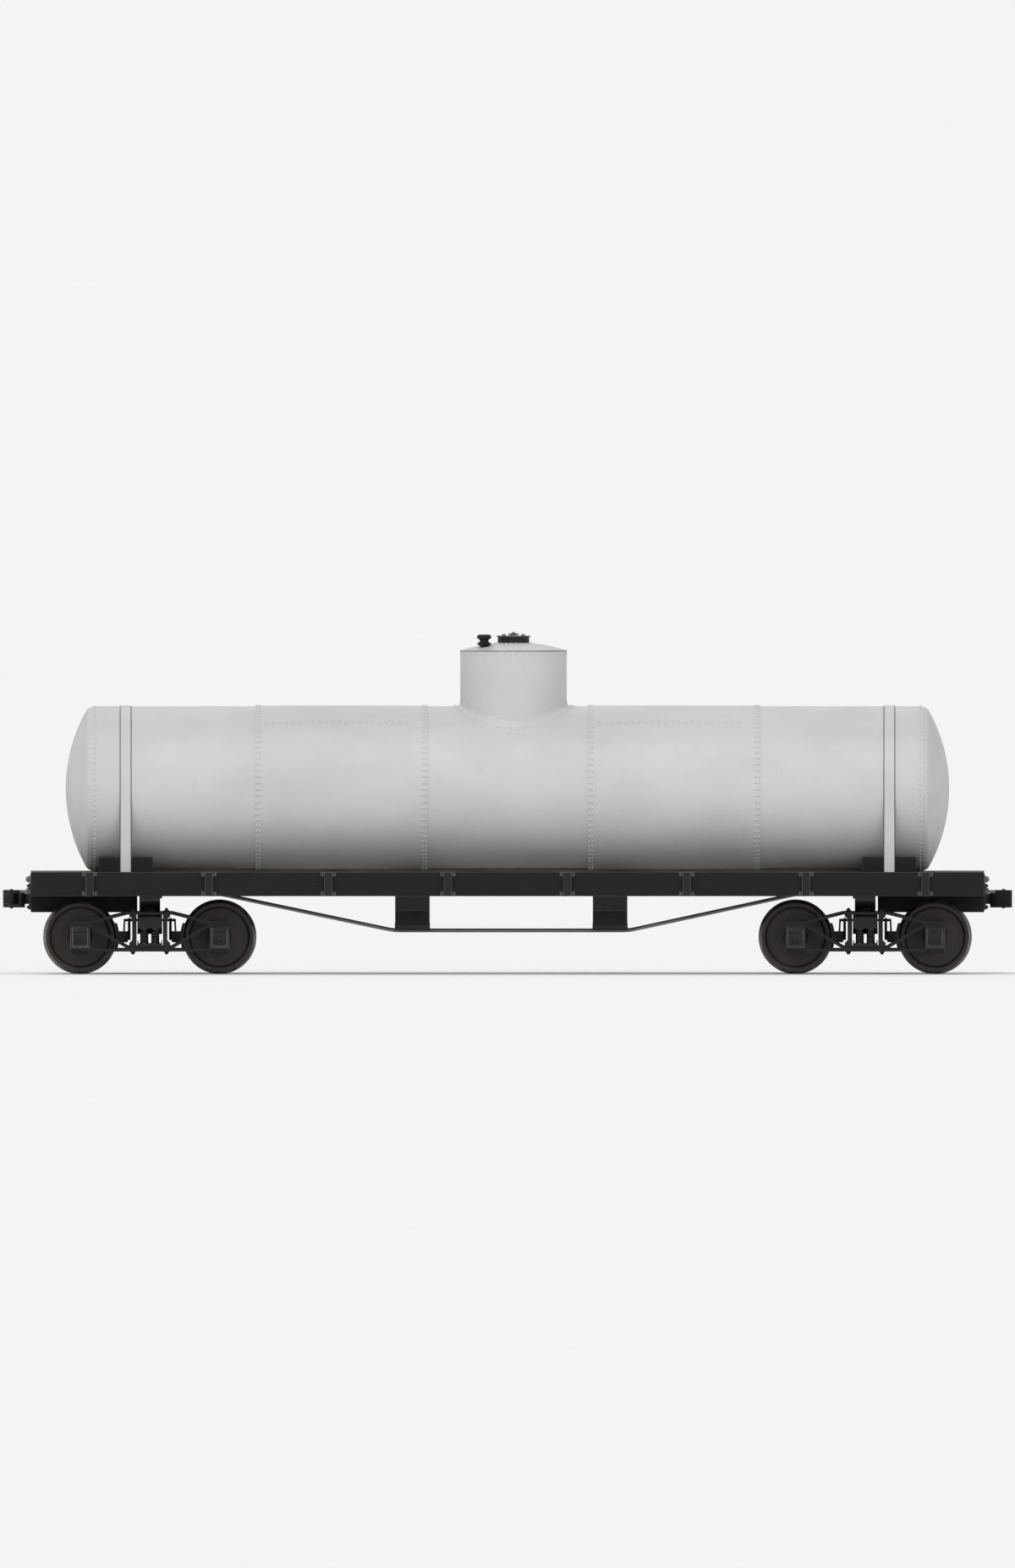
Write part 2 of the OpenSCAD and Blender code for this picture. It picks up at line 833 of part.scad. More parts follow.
// The brake cylinder with its push rod, and the air reservoir beside it
module air_brake() {
    cylinder_l = 340;
    reservoir_l = 700;
    color(cast_black) {
        translate([480, 0, 0]) {
            translate([0, bay_y, bay_z]) x_cylinder(cylinder_l, cylinder_d);
            for (x = [-cylinder_l / 2, cylinder_l / 2])
                translate([x, bay_y, bay_z]) x_cylinder(22, cylinder_d + 18);
            translate([cylinder_l / 2 + 60, bay_y, bay_z]) x_cylinder(160, 46);
            hanger_plate(-cylinder_l / 2 + 50);
            hanger_plate(cylinder_l / 2 - 50);
        }
        translate([-520, 0, 0]) {
            translate([0, bay_y, bay_z]) x_cylinder(reservoir_l, reservoir_d);
            for (s = [-1, 1])
                translate([s * (reservoir_l / 2 + 14), bay_y, bay_z])
                    x_cylinder(40, reservoir_d - 60);
            hanger_plate(-reservoir_l / 2 + 120);
            hanger_plate(reservoir_l / 2 - 120);
        }
    }
}

// Lever on the brake cylinder's push rod, with the pull rods to the two trucks
module brake_rods() {
    lever_x = 806;
    lever_t = 31;
    rod_end = truck_x - 125 - fit;
    hanger_t = 24;
    color(iron_grey) {
        block(
            [lever_x - lever_t / 2, bay_in + 22, bay_z - 30],
            [lever_x + lever_t / 2, bay_out - 22, bay_z + 30]
        );
        for (s = [-1, 1]) {
            y = s < 0 ? pull_y : bay_in + 46;
            x = s < 0 ? -rod_end : lever_x;
            translate([x, y, bay_z])
                rotate([0, 90, 0]) cylinder(h = s < 0 ? rod_end + lever_x : rod_end - x, d = pull_d);
            side_x(s)
                block(
                    [rod_end - hanger_t, y - 24, sill_z - 40],
                    [rod_end, y + 24, bay_z + 30]
                );
        }
    }
}

module brake_pipe() {
    cock_x = half_l + 34;
    cock_l = 44;
    nozzle_l = 74;
    color(iron_grey) {
        translate([0, pipe_y, pipe_z]) x_cylinder(2 * cock_x, pipe_d);
        for (s = [-1, 1]) {
            translate([s * cock_x, pipe_y, pipe_z]) x_cylinder(cock_l, pipe_d + 30);
            translate([s * (cock_x + cock_l / 2 + nozzle_l / 2), pipe_y, pipe_z])
                x_cylinder(nozzle_l + 2 * eps, pipe_d - 6);
            translate([s * cock_x, pipe_y, pipe_z + pipe_d / 2])
                cylinder(h = 40, d = 30, center = true);
        }
    }
}

// The outlet under the dome, and a steam pipe on each side of it
module bottom_fittings() {
    low_z = sill_z + 6;
    neck_z = sill_z + 100;
    steam_spacing = 440;
    color(cast_black)
        difference() {
            translate([dome_x, 0, 0]) {
                translate([0, 0, low_z]) cylinder(h = sill_h / 2, d = outlet_d);
                translate([0, 0, neck_z]) cylinder(h = deck_z - neck_z - 40, d = outlet_d + 50);
                translate([0, 0, deck_z - 60]) cylinder(h = 80, d = outlet_d + 110);
                for (s = [-1, 1])
                    translate([s * steam_spacing, 0, 0]) {
                        translate([0, 0, low_z]) cylinder(h = sill_h, d = steam_d);
                        translate([0, 0, deck_z - 30]) cylinder(h = 40, d = steam_d + 60);
                    }
            }
            tank_space(fit);
        }
}

// ---------- Trucks ----------
// A truck is drawn about its own centre. Truck B is truck A turned about the middle of the car.

half_wb = wheelbase / 2;
journal_y = journal_centres / 2;
box_l = 230;
box_d = 246;
box_up = 130;
box_down = 140;
box_top = axle_z + box_up;
box_bottom = axle_z - box_down;
column_in = 158;
column_out = 246;
bar_low = box_bottom + bar_t / 2; // middle of the lower arch bar between the columns
bar_high = bolster_top + 26 + bar_t / 2; // middle of the upper arch bar over the columns
plank_z = box_bottom + bar_t;
plank_t = 24;
bolster_half = 150;
bolster_end_h = 138;
hub_out = 24;

// Side view of the plank that carries the springs, with its upturned edges
module spring_plank_section() {
    flange = 56;
    t = 14;
    polygon([
        [-bolster_half, plank_z + fit], [bolster_half, plank_z + fit],
        [bolster_half, plank_z + flange], [bolster_half - t, plank_z + flange],
        [bolster_half - t, plank_z + plank_t], [-bolster_half + t, plank_z + plank_t],
        [-bolster_half + t, plank_z + flange], [-bolster_half, plank_z + flange]
    ]);
}

// Side view of the column between the arch bars
module column_section() {
    low = bar_low + bar_t / 2;
    high = bar_high - bar_t / 2;
    waist = column_out - 34;
    polygon([
        [column_in, low - eps], [column_out, low - eps], [column_out, low + 26],
        [waist, low + 60], [waist, high - 50], [column_out, high - 22],
        [column_out, high + eps], [column_in, high + eps]
    ]);
}

// Points along an arch bar: over the boxes at seat_z, past the columns at mid_z
function arch(seat_z, mid_z) = let (
    seat_in = half_wb - box_l / 2 - 8,
    seat_out = half_wb + box_l / 2,
    bend = column_out + 20
) [
    [-seat_out, seat_z], [-seat_in, seat_z], [-bend, mid_z],
    [bend, mid_z], [seat_in, seat_z], [seat_out, seat_z]
];

module truck_frames() {
    bar_end = half_wb + box_l / 2;
    color(frame_black) {
        for (s = [-1, 1]) {
            across(bar_w, s * journal_y) {
                polygon(bent_bar(arch(box_top + 1.5 * bar_t, bar_high), bar_t));
                polygon(bent_bar(arch(box_top + 0.5 * bar_t, bar_low), bar_t));
                translate([-bar_end, box_bottom - bar_t]) square([2 * bar_end, bar_t]);
            }
            for (m = [-1, 1])
                translate([0, s * journal_y, 0]) side_x(m) across(bar_w + 20) column_section();
        }
        across(2 * journal_y + 210) spring_plank_section();
    }
}

module truck_bolster() {
    end_y = journal_y + 105;
    deep = 210;
    color(frame_black)
        difference() {
            union() {
                along(2 * bolster_half)
                    polygon([
                        [-end_y, bolster_top], [-end_y, bolster_top - bolster_end_h],
                        [-journal_y + 120, bolster_top - bolster_end_h],
                        [-500, bolster_top - deep], [500, bolster_top - deep],
                        [journal_y - 120, bolster_top - bolster_end_h],
                        [end_y, bolster_top - bolster_end_h], [end_y, bolster_top]
                    ]);
                translate([0, 0, bolster_top - eps]) cylinder(h = centre_plate_t + eps, d = 300);
                for (s = [-1, 1])
                    block(
                        [-50, s * bearing_y - 40, bolster_top - eps],
                        [50, s * bearing_y + 40, plate_z + 18]
                    );
            }
            translate([0, 0, bolster_top - 2 * deep])
                cylinder(h = 4 * deep, d = king_pin_d + 2);
        }
}

module truck_springs() {
    spring_d = 104;
    spring_z = plank_z + plank_t;
    spring_h = bolster_top - bolster_end_h - spring_z;
    color(cast_black)
        for (s = [-1, 1])
            for (x = [-1, 1])
                for (y = [-1, 1])
                    translate([x * 66, s * (journal_y - 7) + y * 56, spring_z])
                        cylinder(h = spring_h, d = spring_d);
}

// One journal box, with its lid on the outer face
module journal_box() {
    box_in = journal_y - box_d / 2;
    box_out = journal_y + box_d / 2;
    difference() {
        union() {
            along(box_l)
                polygon([
                    [box_in, box_top - fit], [box_out - 30, box_top - fit],
                    [box_out, box_top - 60], [box_out, box_bottom + 20],
                    [box_out - 20, box_bottom + fit], [box_in, box_bottom + fit]
                ]);
            along(box_l - 50)
                polygon([
                    [box_out - 40, box_top - 26], [box_out - 8, box_top - 12],
                    [box_out + 14, box_top - 60], [box_out + 14, box_bottom + 40],
                    [box_out - 10, box_bottom + 40]
                ]);
        }
        translate([0, box_in - eps, axle_z])
            rotate([-90, 0, 0])
                cylinder(h = box_d - 12 + eps, d = journal_d + 2 * seat_gap);
    }
}

module truck_journal_boxes() {
    color(cast_black)
        for (x = [-half_wb, half_wb])
            both_sides() translate([x, 0, 0]) journal_box();
}

module truck_brake_beams() {
    shoe_gap = 12;
    shoe_t = 40;
    shoe_w = 78;
    shoe_y = back_to_back / 2 + 84;
    shoe_in = wheel_r + shoe_gap;
    beam_x = half_wb - shoe_in - shoe_t - 74;
    lever_top = bolster_top - 20;
    hanger_z = bolster_top - 46;
    color(cast_black)
        for (s = [-1, 1])
            side_x(s) {
                for (y = [-shoe_y, shoe_y]) {
                    intersection() {
                        translate([half_wb, y, axle_z])
                            difference() {
                                y_cylinder(shoe_w, 2 * (shoe_in + shoe_t));
                                y_cylinder(shoe_w + 2, 2 * shoe_in);
                            }
                        block(
                            [0, y - shoe_w, axle_z - 160],
                            [half_wb - 0.9 * shoe_in, y + shoe_w, axle_z + 160]
                        );
                    }
                    translate([0, y, 0])
                        block(
                            [beam_x - 30, -28, axle_z - 62],
                            [half_wb - shoe_in - shoe_t + 12, 28, axle_z + 62]
                        );
                    across(30, y)
                        polygon(bent_bar(
                            [
                                [beam_x + 20, axle_z], [beam_x + 10, hanger_z],
                                [bolster_half + fit, hanger_z]
                            ],
                            22
                        ));
                }
                block([beam_x - 30, -shoe_y, axle_z - 30], [beam_x + 30, shoe_y, axle_z + 30]);
                block(
                    [max(beam_x - 62, bolster_half + 5), -10, axle_z - 40],
                    [beam_x - 29, 10, lever_top]
                );
            }
}

module axle() {
    end_y = journal_y + 105;
    shoulder_y = journal_y - box_d / 2 - 4;
    seat_out = back_to_back / 2 + rim_w + hub_out;
    seat_in = back_to_back / 2 - 30;
    half = [
        [0, end_y], [journal_d / 2 - 6, end_y], [journal_d / 2, end_y - 6],
        [journal_d / 2, shoulder_y], [seat_d / 2 - 6, shoulder_y - 4],
        [seat_d / 2 - 6, seat_out - 4], [seat_d / 2, seat_out - 4], [seat_d / 2, seat_in],
        [seat_d / 2 - 8, seat_in - 12], [seat_d / 2 - 14, 0]
    ];
    color(steel)
        rotate([90, 0, 0])
            rotate_extrude()
                polygon(concat(half, [for (i = [len(half) - 2:-1:0]) [half[i][0], -half[i][1]]]));
}

// Half section of a cast wheel: radius, then distance from the back of the rim
module wheel() {
    r = wheel_r;
    bore = seat_d / 2 + fit;
    hub = seat_d / 2 + 57;
    in_y = -30;
    out_y = rim_w + hub_out - 6;
    rotate_extrude()
        polygon([
            [bore, in_y], [hub - 8, in_y], [hub, in_y + 8], [hub + 8, 38],
            [hub + 0.3 * (r - hub), 46], [hub + 0.6 * (r - hub), 38], [r - 68, 26],
            [r - 50, 10], [r - 46, 0], [r + flange_h - 14, 0], [r + flange_h - 4, 5],
            [r + flange_h, 14], [r + flange_h - 4, 23], [r + flange_h - 13, 30], [r + 4, 36],
            [r, 44], [r - 5, rim_w - 8], [r - 11, rim_w], [r - 48, rim_w], [r - 58, rim_w - 12],
            [r - 70, 84], [hub + 0.6 * (r - hub), 80], [hub + 0.3 * (r - hub), 90],
            [hub + 8, 112], [hub, out_y - 6], [hub - 6, out_y], [bore, out_y]
        ]);
}

module wheel_pair() {
    color(steel)
        for (s = [-1, 1])
            side_y(s)
                translate([0, back_to_back / 2, 0]) rotate([-90, 0, 0]) wheel();
}

// Places a truck piece at end A or B, and a wheelset at its outer or inner axle
module at_truck(end) rotate([0, 0, end == "a" ? 180 : 0]) translate([truck_x, 0, 0]) children();

module at_axle(end, n)
    at_truck(end) translate([n == 1 ? half_wb : -half_wb, 0, axle_z]) children();

// ---------- The assembly ----------

tank_shell();
tank_heads();
dome_shell();
dome_crown();
manhole_neck();
safety_valve();
tank_bands();
tank_saddles();
tank_bearers();
side_sills();
inner_sills();
end_sills();
stake_pockets();
deck_boards();
body_bolsters();
queen_posts();
truss_rods();
draft_timbers();
draft_gear();
couplers();
air_brake();
brake_rods();
brake_pipe();
bottom_fittings();
manhole_cover();
cover_screw();
knuckle_a();
knuckle_b();
for (e = ["a", "b"]) {
    at_truck(e) truck_frames();
    at_truck(e) truck_bolster();
    at_truck(e) truck_springs();
    at_truck(e) truck_journal_boxes();
    at_truck(e) truck_brake_beams();
    for (n = [1, 2]) {
        at_axle(e, n) axle();
        at_axle(e, n) wheel_pair();
    }
}
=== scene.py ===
"""Looks of the railway tank car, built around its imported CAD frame.

Metres; +X along the car, +Z up, the near side faces -Y. The root body is the car itself, and
each truck, wheelset, coupler knuckle and the dome's cover are bodies of their own.
"""
import math

import bmesh
import bpy
from mathutils import Matrix, Vector


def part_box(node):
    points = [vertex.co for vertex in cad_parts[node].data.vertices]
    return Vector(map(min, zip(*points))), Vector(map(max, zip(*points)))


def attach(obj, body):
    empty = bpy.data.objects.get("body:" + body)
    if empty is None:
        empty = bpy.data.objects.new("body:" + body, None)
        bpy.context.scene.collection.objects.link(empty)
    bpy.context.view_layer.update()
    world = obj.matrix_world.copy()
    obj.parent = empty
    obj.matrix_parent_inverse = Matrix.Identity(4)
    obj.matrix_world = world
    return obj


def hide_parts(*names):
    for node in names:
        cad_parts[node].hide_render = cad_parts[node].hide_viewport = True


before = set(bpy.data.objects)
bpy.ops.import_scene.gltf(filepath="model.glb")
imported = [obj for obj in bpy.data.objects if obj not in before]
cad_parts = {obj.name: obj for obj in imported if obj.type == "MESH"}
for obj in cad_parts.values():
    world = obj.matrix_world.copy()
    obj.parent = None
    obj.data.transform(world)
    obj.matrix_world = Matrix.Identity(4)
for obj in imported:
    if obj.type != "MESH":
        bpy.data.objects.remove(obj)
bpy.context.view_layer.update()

MM = 0.001
FIT = 0.1 * MM
CAR = "car_body"
ENDS = {"a": -1, "b": 1}


# ---------- Places, read from the frame ----------

def low(node):
    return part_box(node)[0]


def high(node):
    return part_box(node)[1]


def middle(node):
    return (Vector(low(node)) + Vector(high(node))) / 2


SHELL_X = high("tank_shell")[0]
TANK_Z = middle("tank_heads").z
HEAD_R = high("tank_heads")[1]
SHELL_T = 10 * MM
TANK_R = HEAD_R + (SHELL_T + FIT)
LAP_R = high("tank_shell")[1]
COURSES = 5
FACETS = 144  # round a tank head, and round the dome's flange and rim
HEAD_X = high("tank_heads")[0]
DOME_X = middle("dome_shell").x
DOME_R = high("dome_shell")[1]
SHOULDER_Z = high("dome_shell")[2]
DOME_RISE = 100 * MM
DOME_BALL_R = (DOME_R * DOME_R + DOME_RISE * DOME_RISE) / (2 * DOME_RISE)
DOME_BALL_Z = SHOULDER_Z + DOME_RISE - DOME_BALL_R
DECK_Z = high("side_sills")[2]
SILL_Z = low("side_sills")[2]
SIDE_Y = high("side_sills")[1]
END_X = high("side_sills")[0]
BAND_HALF = 65 * MM
BAND_X = high("tank_bands")[0] - BAND_HALF
SADDLE_OUT = high("tank_saddles")[0]
POST_X = (low("queen_posts")[0], high("queen_posts")[0])
POST_L = 416 * MM
BEAM_H = 175 * MM
ROD_R = 16 * MM
ROD_LIFT = 195 * MM
ROD_DROP = 420 * MM
POCKETS = 8
POCKET_INSET = 705 * MM
SIDE_BOARDS = ("Y", 0.5795, 0.2045)  # the axis across the boards, where they start, their pitch
END_BOARDS = ("X", 4.915, 0.204)
RIM_W = 140 * MM
FLANGE_H = 25 * MM
ROD_Y = (1.085, 0.45)
SILL_Y = (0.2135, 0.692, 1.2565)  # middles of the centre, intermediate and side sills
LEDGER_Y = 1.165
AXLE_Z = middle("axle_a1").z
WHEEL_R = high("wheels_a1")[2] - AXLE_Z - FLANGE_H
JOURNAL_Y = 0.97
HALF_BASE = abs(middle("axle_b1").x - middle("axle_b2").x) / 2
TRUCK_X = (middle("axle_b1").x + middle("axle_b2").x) / 2
BAR_TOP = high("truck_b_frames")[2]
BAR_BOTTOM = low("truck_b_frames")[2]
BOX_TOP = AXLE_Z + 130 * MM
BOX_FACE_Y = high("truck_b_journal_boxes")[1]


def both_ways(*distances):
    """Distances to both sides of the middle, in order from one edge to the other."""
    return [-d for d in sorted(distances, reverse=True)] + sorted(distances)


def shared_turn(count, start=0.5):
    """Angles that share out a full turn, the first one start of a step past zero."""
    return [math.tau * (k + start) / count for k in range(count)]


# ---------- Colours and nodes ----------

def linear(hex_colour):
    """An sRGB hex colour as linear RGBA."""
    channels = [int(hex_colour[i:i + 2], 16) / 255 for i in (1, 3, 5)]
    return [c / 12.92 if c <= 0.04045 else ((c + 0.055) / 1.055) ** 2.4 for c in channels] + [1]


def add(tree, kind, inputs=None, **settings):
    """Adds a node. inputs gives, by socket name or number, a value, a hex colour or the output
    that feeds it."""
    node = tree.nodes.new(kind)
    for key, value in settings.items():
        setattr(node, key, value)
    for key, value in (inputs or {}).items():
        if isinstance(value, bpy.types.NodeSocket):
            tree.links.new(value, node.inputs[key])
        elif isinstance(value, str) and value.startswith("#"):
            node.inputs[key].default_value = linear(value)
        else:
            node.inputs[key].default_value = value
    return node


# Settings and outputs that many nodes share. By number, a Map Range node's inputs are its value
# (0), the range that comes in (1, 2) and the one that goes out (3, 4), and a Mix node's are its
# share (0) and its two colours (6, 7).
SMOOTH = {"interpolation_type": "SMOOTHSTEP"}
COLOUR = {"out": 2, "data_type": "RGBA"}
TIMES = {"operation": "MULTIPLY"}
PLUS = {"operation": "ADD"}
MINUS = {"operation": "SUBTRACT"}
SIZE_OF = {"operation": "ABSOLUTE"}


class Finish:
    """A material in the making: its tree, its shader and the point that its patterns read."""

    def __init__(self, name, **shader):
        self.material = bpy.data.materials.new(name)
        self.material.use_nodes = True
        self.tree = self.material.node_tree
        self.tree.nodes.clear()
        self.shader = add(self.tree, "ShaderNodeBsdfPrincipled", shader)
        add(self.tree, "ShaderNodeOutputMaterial", {"Surface": self.shader.outputs[0]})
        self.point = self.new("TexCoord", out="Object")

    def new(self, kind, inputs=None, out=0, **settings):
        """One output, by name or number, of a shader node added to this material."""
        return add(self.tree, "ShaderNode" + kind, inputs, **settings).outputs[out]

    def pattern(self, size, stretch=(1, 1, 1), detail=3, roughness=0.55):
        """Blotches about size across, drawn out by stretch."""
        scale = [1 / (size * s) for s in stretch]
        point = self.new("Mapping", {"Vector": self.point, "Scale": scale})
        return self.new(
            "TexNoise", {"Vector": point, "Scale": 1, "Detail": detail, "Roughness": roughness}
        )

    def finish(self, colour, roughness, height=None, depth=1.0, metallic=None):
        """Feeds the shader. height is in metres where depth is 1."""
        for socket, value in (
            ("Base Color", colour), ("Roughness", roughness), ("Metallic", metallic)
        ):
            if isinstance(value, bpy.types.NodeSocket):
                self.tree.links.new(value, self.shader.inputs[socket])
            elif value is not None:
                self.shader.inputs[socket].default_value = value
        if height is not None:
            bump = self.new("Bump", {"Strength": 1, "Distance": depth, "Height": height})
            self.tree.links.new(bump, self.shader.inputs["Normal"])
        return self.material


def tank_paint():
    """Light grey oil paint brushed over rolled steel plate: an even, slightly chalky grey in
    soft clouds, with faint rain streaks down the sides, and a thin dark line of painted shade
    along the edges of the two bands, where they stand proud of the plate."""
    f = Finish("light_grey_oil_paint_on_rolled_plate", IOR=1.45)
    clouds = f.pattern(900 * MM, (1.6, 1, 1), 4)
    streaks = f.pattern(50 * MM, (1, 1, 14), 3)
    brush = f.pattern(6 * MM, (30, 4, 1), 2)
    waves = f.pattern(450 * MM, (1, 1, 1), 1)
    share = f.new("MapRange", {0: clouds, 1: 0.3, 2: 0.75}, **SMOOTH)
    colour = f.new("Mix", {0: share, 6: "#c3c3c3", 7: "#bababa"}, **COLOUR)
    share = f.new("MapRange", {0: streaks, 1: 0.56, 2: 0.85}, **SMOOTH)
    rain = f.new("Math", {0: share, 1: 0.22}, **TIMES)
    colour = f.new("Mix", {0: rain, 6: colour, 7: "#a5a49f"}, **COLOUR)
    # A thin dark line along the edges of each band is painted shade, where the band stands proud of
    # the plate.
    along = f.new("Math", {0: f.new("SeparateXYZ", {0: f.point}, "X")}, **SIZE_OF)
    from_band = f.new("Math", {0: along, 1: BAND_X}, **MINUS)
    beside = f.new("Math", {0: from_band}, **SIZE_OF)
    past_edge = f.new("Math", {0: beside, 1: BAND_HALF}, **MINUS)
    from_edge = f.new("Math", {0: past_edge}, **SIZE_OF)
    line = f.new("MapRange", {0: from_edge, 1: 3 * MM, 2: 13 * MM, 3: 0.75, 4: 0}, **SMOOTH)
    colour = f.new("Mix", {0: line, 6: colour, 7: "#5b5a58"}, **COLOUR)
    roughness = f.new("MapRange", {0: clouds, 1: 0.2, 2: 0.8, 3: 0.42, 4: 0.56}, **SMOOTH)
    swell = f.new("Math", {0: waves, 1: 0.9}, **TIMES)
    marks = f.new("Math", {0: brush, 1: 0.05}, **TIMES)
    height = f.new("Math", {0: swell, 1: marks}, **PLUS)
    return f.finish(colour, roughness, height, 1.0 * MM)


def dirty_paint():
    """The same grey paint on a narrow edge where soot and hands have darkened it."""
    f = Finish("soot_stained_grey_paint", IOR=1.45)
    soot = f.pattern(80 * MM, detail=4)
    share = f.new("MapRange", {0: soot, 1: 0.35, 2: 0.65}, **SMOOTH)
    colour = f.new("Mix", {0: share, 6: "#7b7a78", 7: "#93928f"}, **COLOUR)
    roughness = f.new("MapRange", {0: soot, 1: 0.3, 2: 0.7, 3: 0.5, 4: 0.62}, **SMOOTH)
    return f.finish(colour, roughness, soot, 0.3 * MM)


def timber(name, tones, along, gloss, boards=None):
    """Sawn timber with its grain along one axis: long dark grain lines, checks that run with
    them, rubbed patches, and dust on what faces up. Grain is drawn at 12 mm and checks at
    30 mm, coarser than oak's own 3 mm, so that they show. tones are face, rub, grain and dust.
    boards gives the axis across the boards, where they start and their pitch."""
    face, rub, dark, dusty = tones
    f = Finish(name, **{"IOR": 1.45, "Specular IOR Level": 0.3})
    stretch = [1, 1, 1]
    stretch[along] = 45
    grain = f.pattern(12 * MM, stretch, 4, 0.6)
    checks = f.pattern(30 * MM, [s * 1.4 for s in stretch], 2)
    wear = f.pattern(250 * MM, (2, 1, 1), 5, 0.65)
    share = f.new("MapRange", {0: grain, 1: 0.35, 2: 0.7}, **SMOOTH)
    colour = f.new("Mix", {0: share, 6: dark, 7: face}, **COLOUR)
    share = f.new("MapRange", {0: wear, 1: 0.58, 2: 0.78}, **SMOOTH)
    worn = f.new("Math", {0: share, 1: 0.5}, **TIMES)
    colour = f.new("Mix", {0: worn, 6: colour, 7: rub}, **COLOUR)
    if boards:
        across, start, pitch = boards
        place = f.new("SeparateXYZ", {0: f.point}, across)
        inward = f.new("Math", {0: f.new("Math", {0: place}, **SIZE_OF), 1: start}, **MINUS)
        count = f.new("Math", {0: inward, 1: pitch}, operation="DIVIDE")
        side = f.new("Math", {0: place}, operation="SIGN")
        number = f.new("Math", {
            0: f.new("Math", {0: count}, operation="FLOOR"),
            1: f.new("Math", {0: side, 1: 37.0}, **TIMES)
        }, **PLUS)
        shade = f.new("TexWhiteNoise", {"W": number}, noise_dimensions="1D")
        share = f.new("Math", {0: shade, 1: 0.4}, **TIMES)
        colour = f.new("Mix", {0: share, 6: colour, 7: dark}, **COLOUR)
    up = f.new("SeparateXYZ", {0: f.new("NewGeometry", out="Normal")}, "Z")
    level = f.new("MapRange", {0: up, 1: 0.6, 2: 1.0}, **SMOOTH)
    settled = f.new("MapRange", {0: wear, 1: 0.3, 2: 0.8, 3: 0.05, 4: 0.35}, **SMOOTH)
    dust = f.new("Math", {0: level, 1: settled}, **TIMES)
    colour = f.new("Mix", {0: dust, 6: colour, 7: dusty}, **COLOUR)
    cracks = f.new("MapRange", {0: checks, 1: 0.62, 2: 0.7, 3: 0, 4: -1.5}, **SMOOTH)
    height = f.new("Math", {0: grain, 1: cracks}, **PLUS)
    roughness = f.new("MapRange", {0: grain, 1: 0.2, 2: 0.8, 3: gloss + 0.12, 4: gloss}, **SMOOTH)
    return f.finish(colour, roughness, height, 0.9 * MM)


def black_iron():
    """Cast and forged iron under brushed black paint: a soft black with the sand-cast
    pebbling showing through at 5 mm, and brown dust on what faces up."""
    f = Finish("black_paint_on_cast_iron", **{"IOR": 1.45, "Specular IOR Level": 0.35})
    pebble = f.pattern(5 * MM, detail=2)
    rubs = f.pattern(120 * MM, detail=5, roughness=0.7)
    share = f.new("MapRange", {0: rubs, 1: 0.3, 2: 0.7}, **SMOOTH)
    colour = f.new("Mix", {0: share, 6: "#0c0c0d", 7: "#181818"}, **COLOUR)
    up = f.new("SeparateXYZ", {0: f.new("NewGeometry", out="Normal")}, "Z")
    level = f.new("MapRange", {0: up, 1: 0.5, 2: 1.0}, **SMOOTH)
    settled = f.new("MapRange", {0: rubs, 1: 0.3, 2: 0.7, 3: 0.05, 4: 0.3}, **SMOOTH)
    dust = f.new("Math", {0: level, 1: settled}, **TIMES)
    colour = f.new("Mix", {0: dust, 6: colour, 7: "#38332c"}, **COLOUR)
    roughness = f.new("MapRange", {0: rubs, 1: 0.3, 2: 0.75, 3: 0.45, 4: 0.65}, **SMOOTH)
    return f.finish(colour, roughness, pebble, 0.4 * MM)


def rubbed_iron():
    """The worn edge of a painted casting, where hands, chains and boots have taken the black
    off: smooth dark grey iron with a dull shine."""
    f = Finish("rubbed_cast_iron_edge")
    rubs = f.pattern(70 * MM, detail=3)
    share = f.new("MapRange", {0: rubs, 1: 0.3, 2: 0.7}, **SMOOTH)
    colour = f.new("Mix", {0: share, 6: "#515152", 7: "#656463"}, **COLOUR)
    roughness = f.new("MapRange", {0: rubs, 1: 0.3, 2: 0.7, 3: 0.4, 4: 0.55}, **SMOOTH)
    return f.finish(colour, roughness, rubs, 0.15 * MM, 0.5)


def dark_iron():
    """Wrought iron rod and steel plate with a thin, worn dark coat: slate grey, half metal,
    with drawn lines along the rods and rust in small freckles."""
    f = Finish("worn_dark_wrought_iron")
    freckle = f.pattern(20 * MM, detail=5, roughness=0.7)
    drawn = f.pattern(3 * MM, (60, 1, 1), 2)
    share = f.new("MapRange", {0: freckle, 1: 0.35, 2: 0.65}, **SMOOTH)
    colour = f.new("Mix", {0: share, 6: "#5a5a5b", 7: "#6f6f70"}, **COLOUR)
    share = f.new("MapRange", {0: freckle, 1: 0.64, 2: 0.78}, **SMOOTH)
    rust = f.new("Math", {0: share, 1: 0.4}, **TIMES)
    colour = f.new("Mix", {0: rust, 6: colour, 7: "#5a4334"}, **COLOUR)
    roughness = f.new("MapRange", {0: freckle, 1: 0.3, 2: 0.7, 3: 0.4, 4: 0.58}, **SMOOTH)
    return f.finish(colour, roughness, drawn, 0.25 * MM, 0.5)


def wheel_plate():
    """Chilled cast iron as it comes from the mould, left bare: dark brown-grey with a fine
    skin of rust, oil-stained in soft patches."""
    f = Finish("bare_chilled_cast_iron")
    pebble = f.pattern(6 * MM, detail=3)
    rust = f.pattern(60 * MM, detail=6, roughness=0.7)
    share = f.new("MapRange", {0: rust, 1: 0.3, 2: 0.7}, **SMOOTH)
    colour = f.new("Mix", {0: share, 6: "#1e1c1b", 7: "#322a25"}, **COLOUR)
    roughness = f.new("MapRange", {0: rust, 1: 0.3, 2: 0.7, 3: 0.5, 4: 0.75}, **SMOOTH)
    return f.finish(colour, roughness, pebble, 0.6 * MM, 0.2)


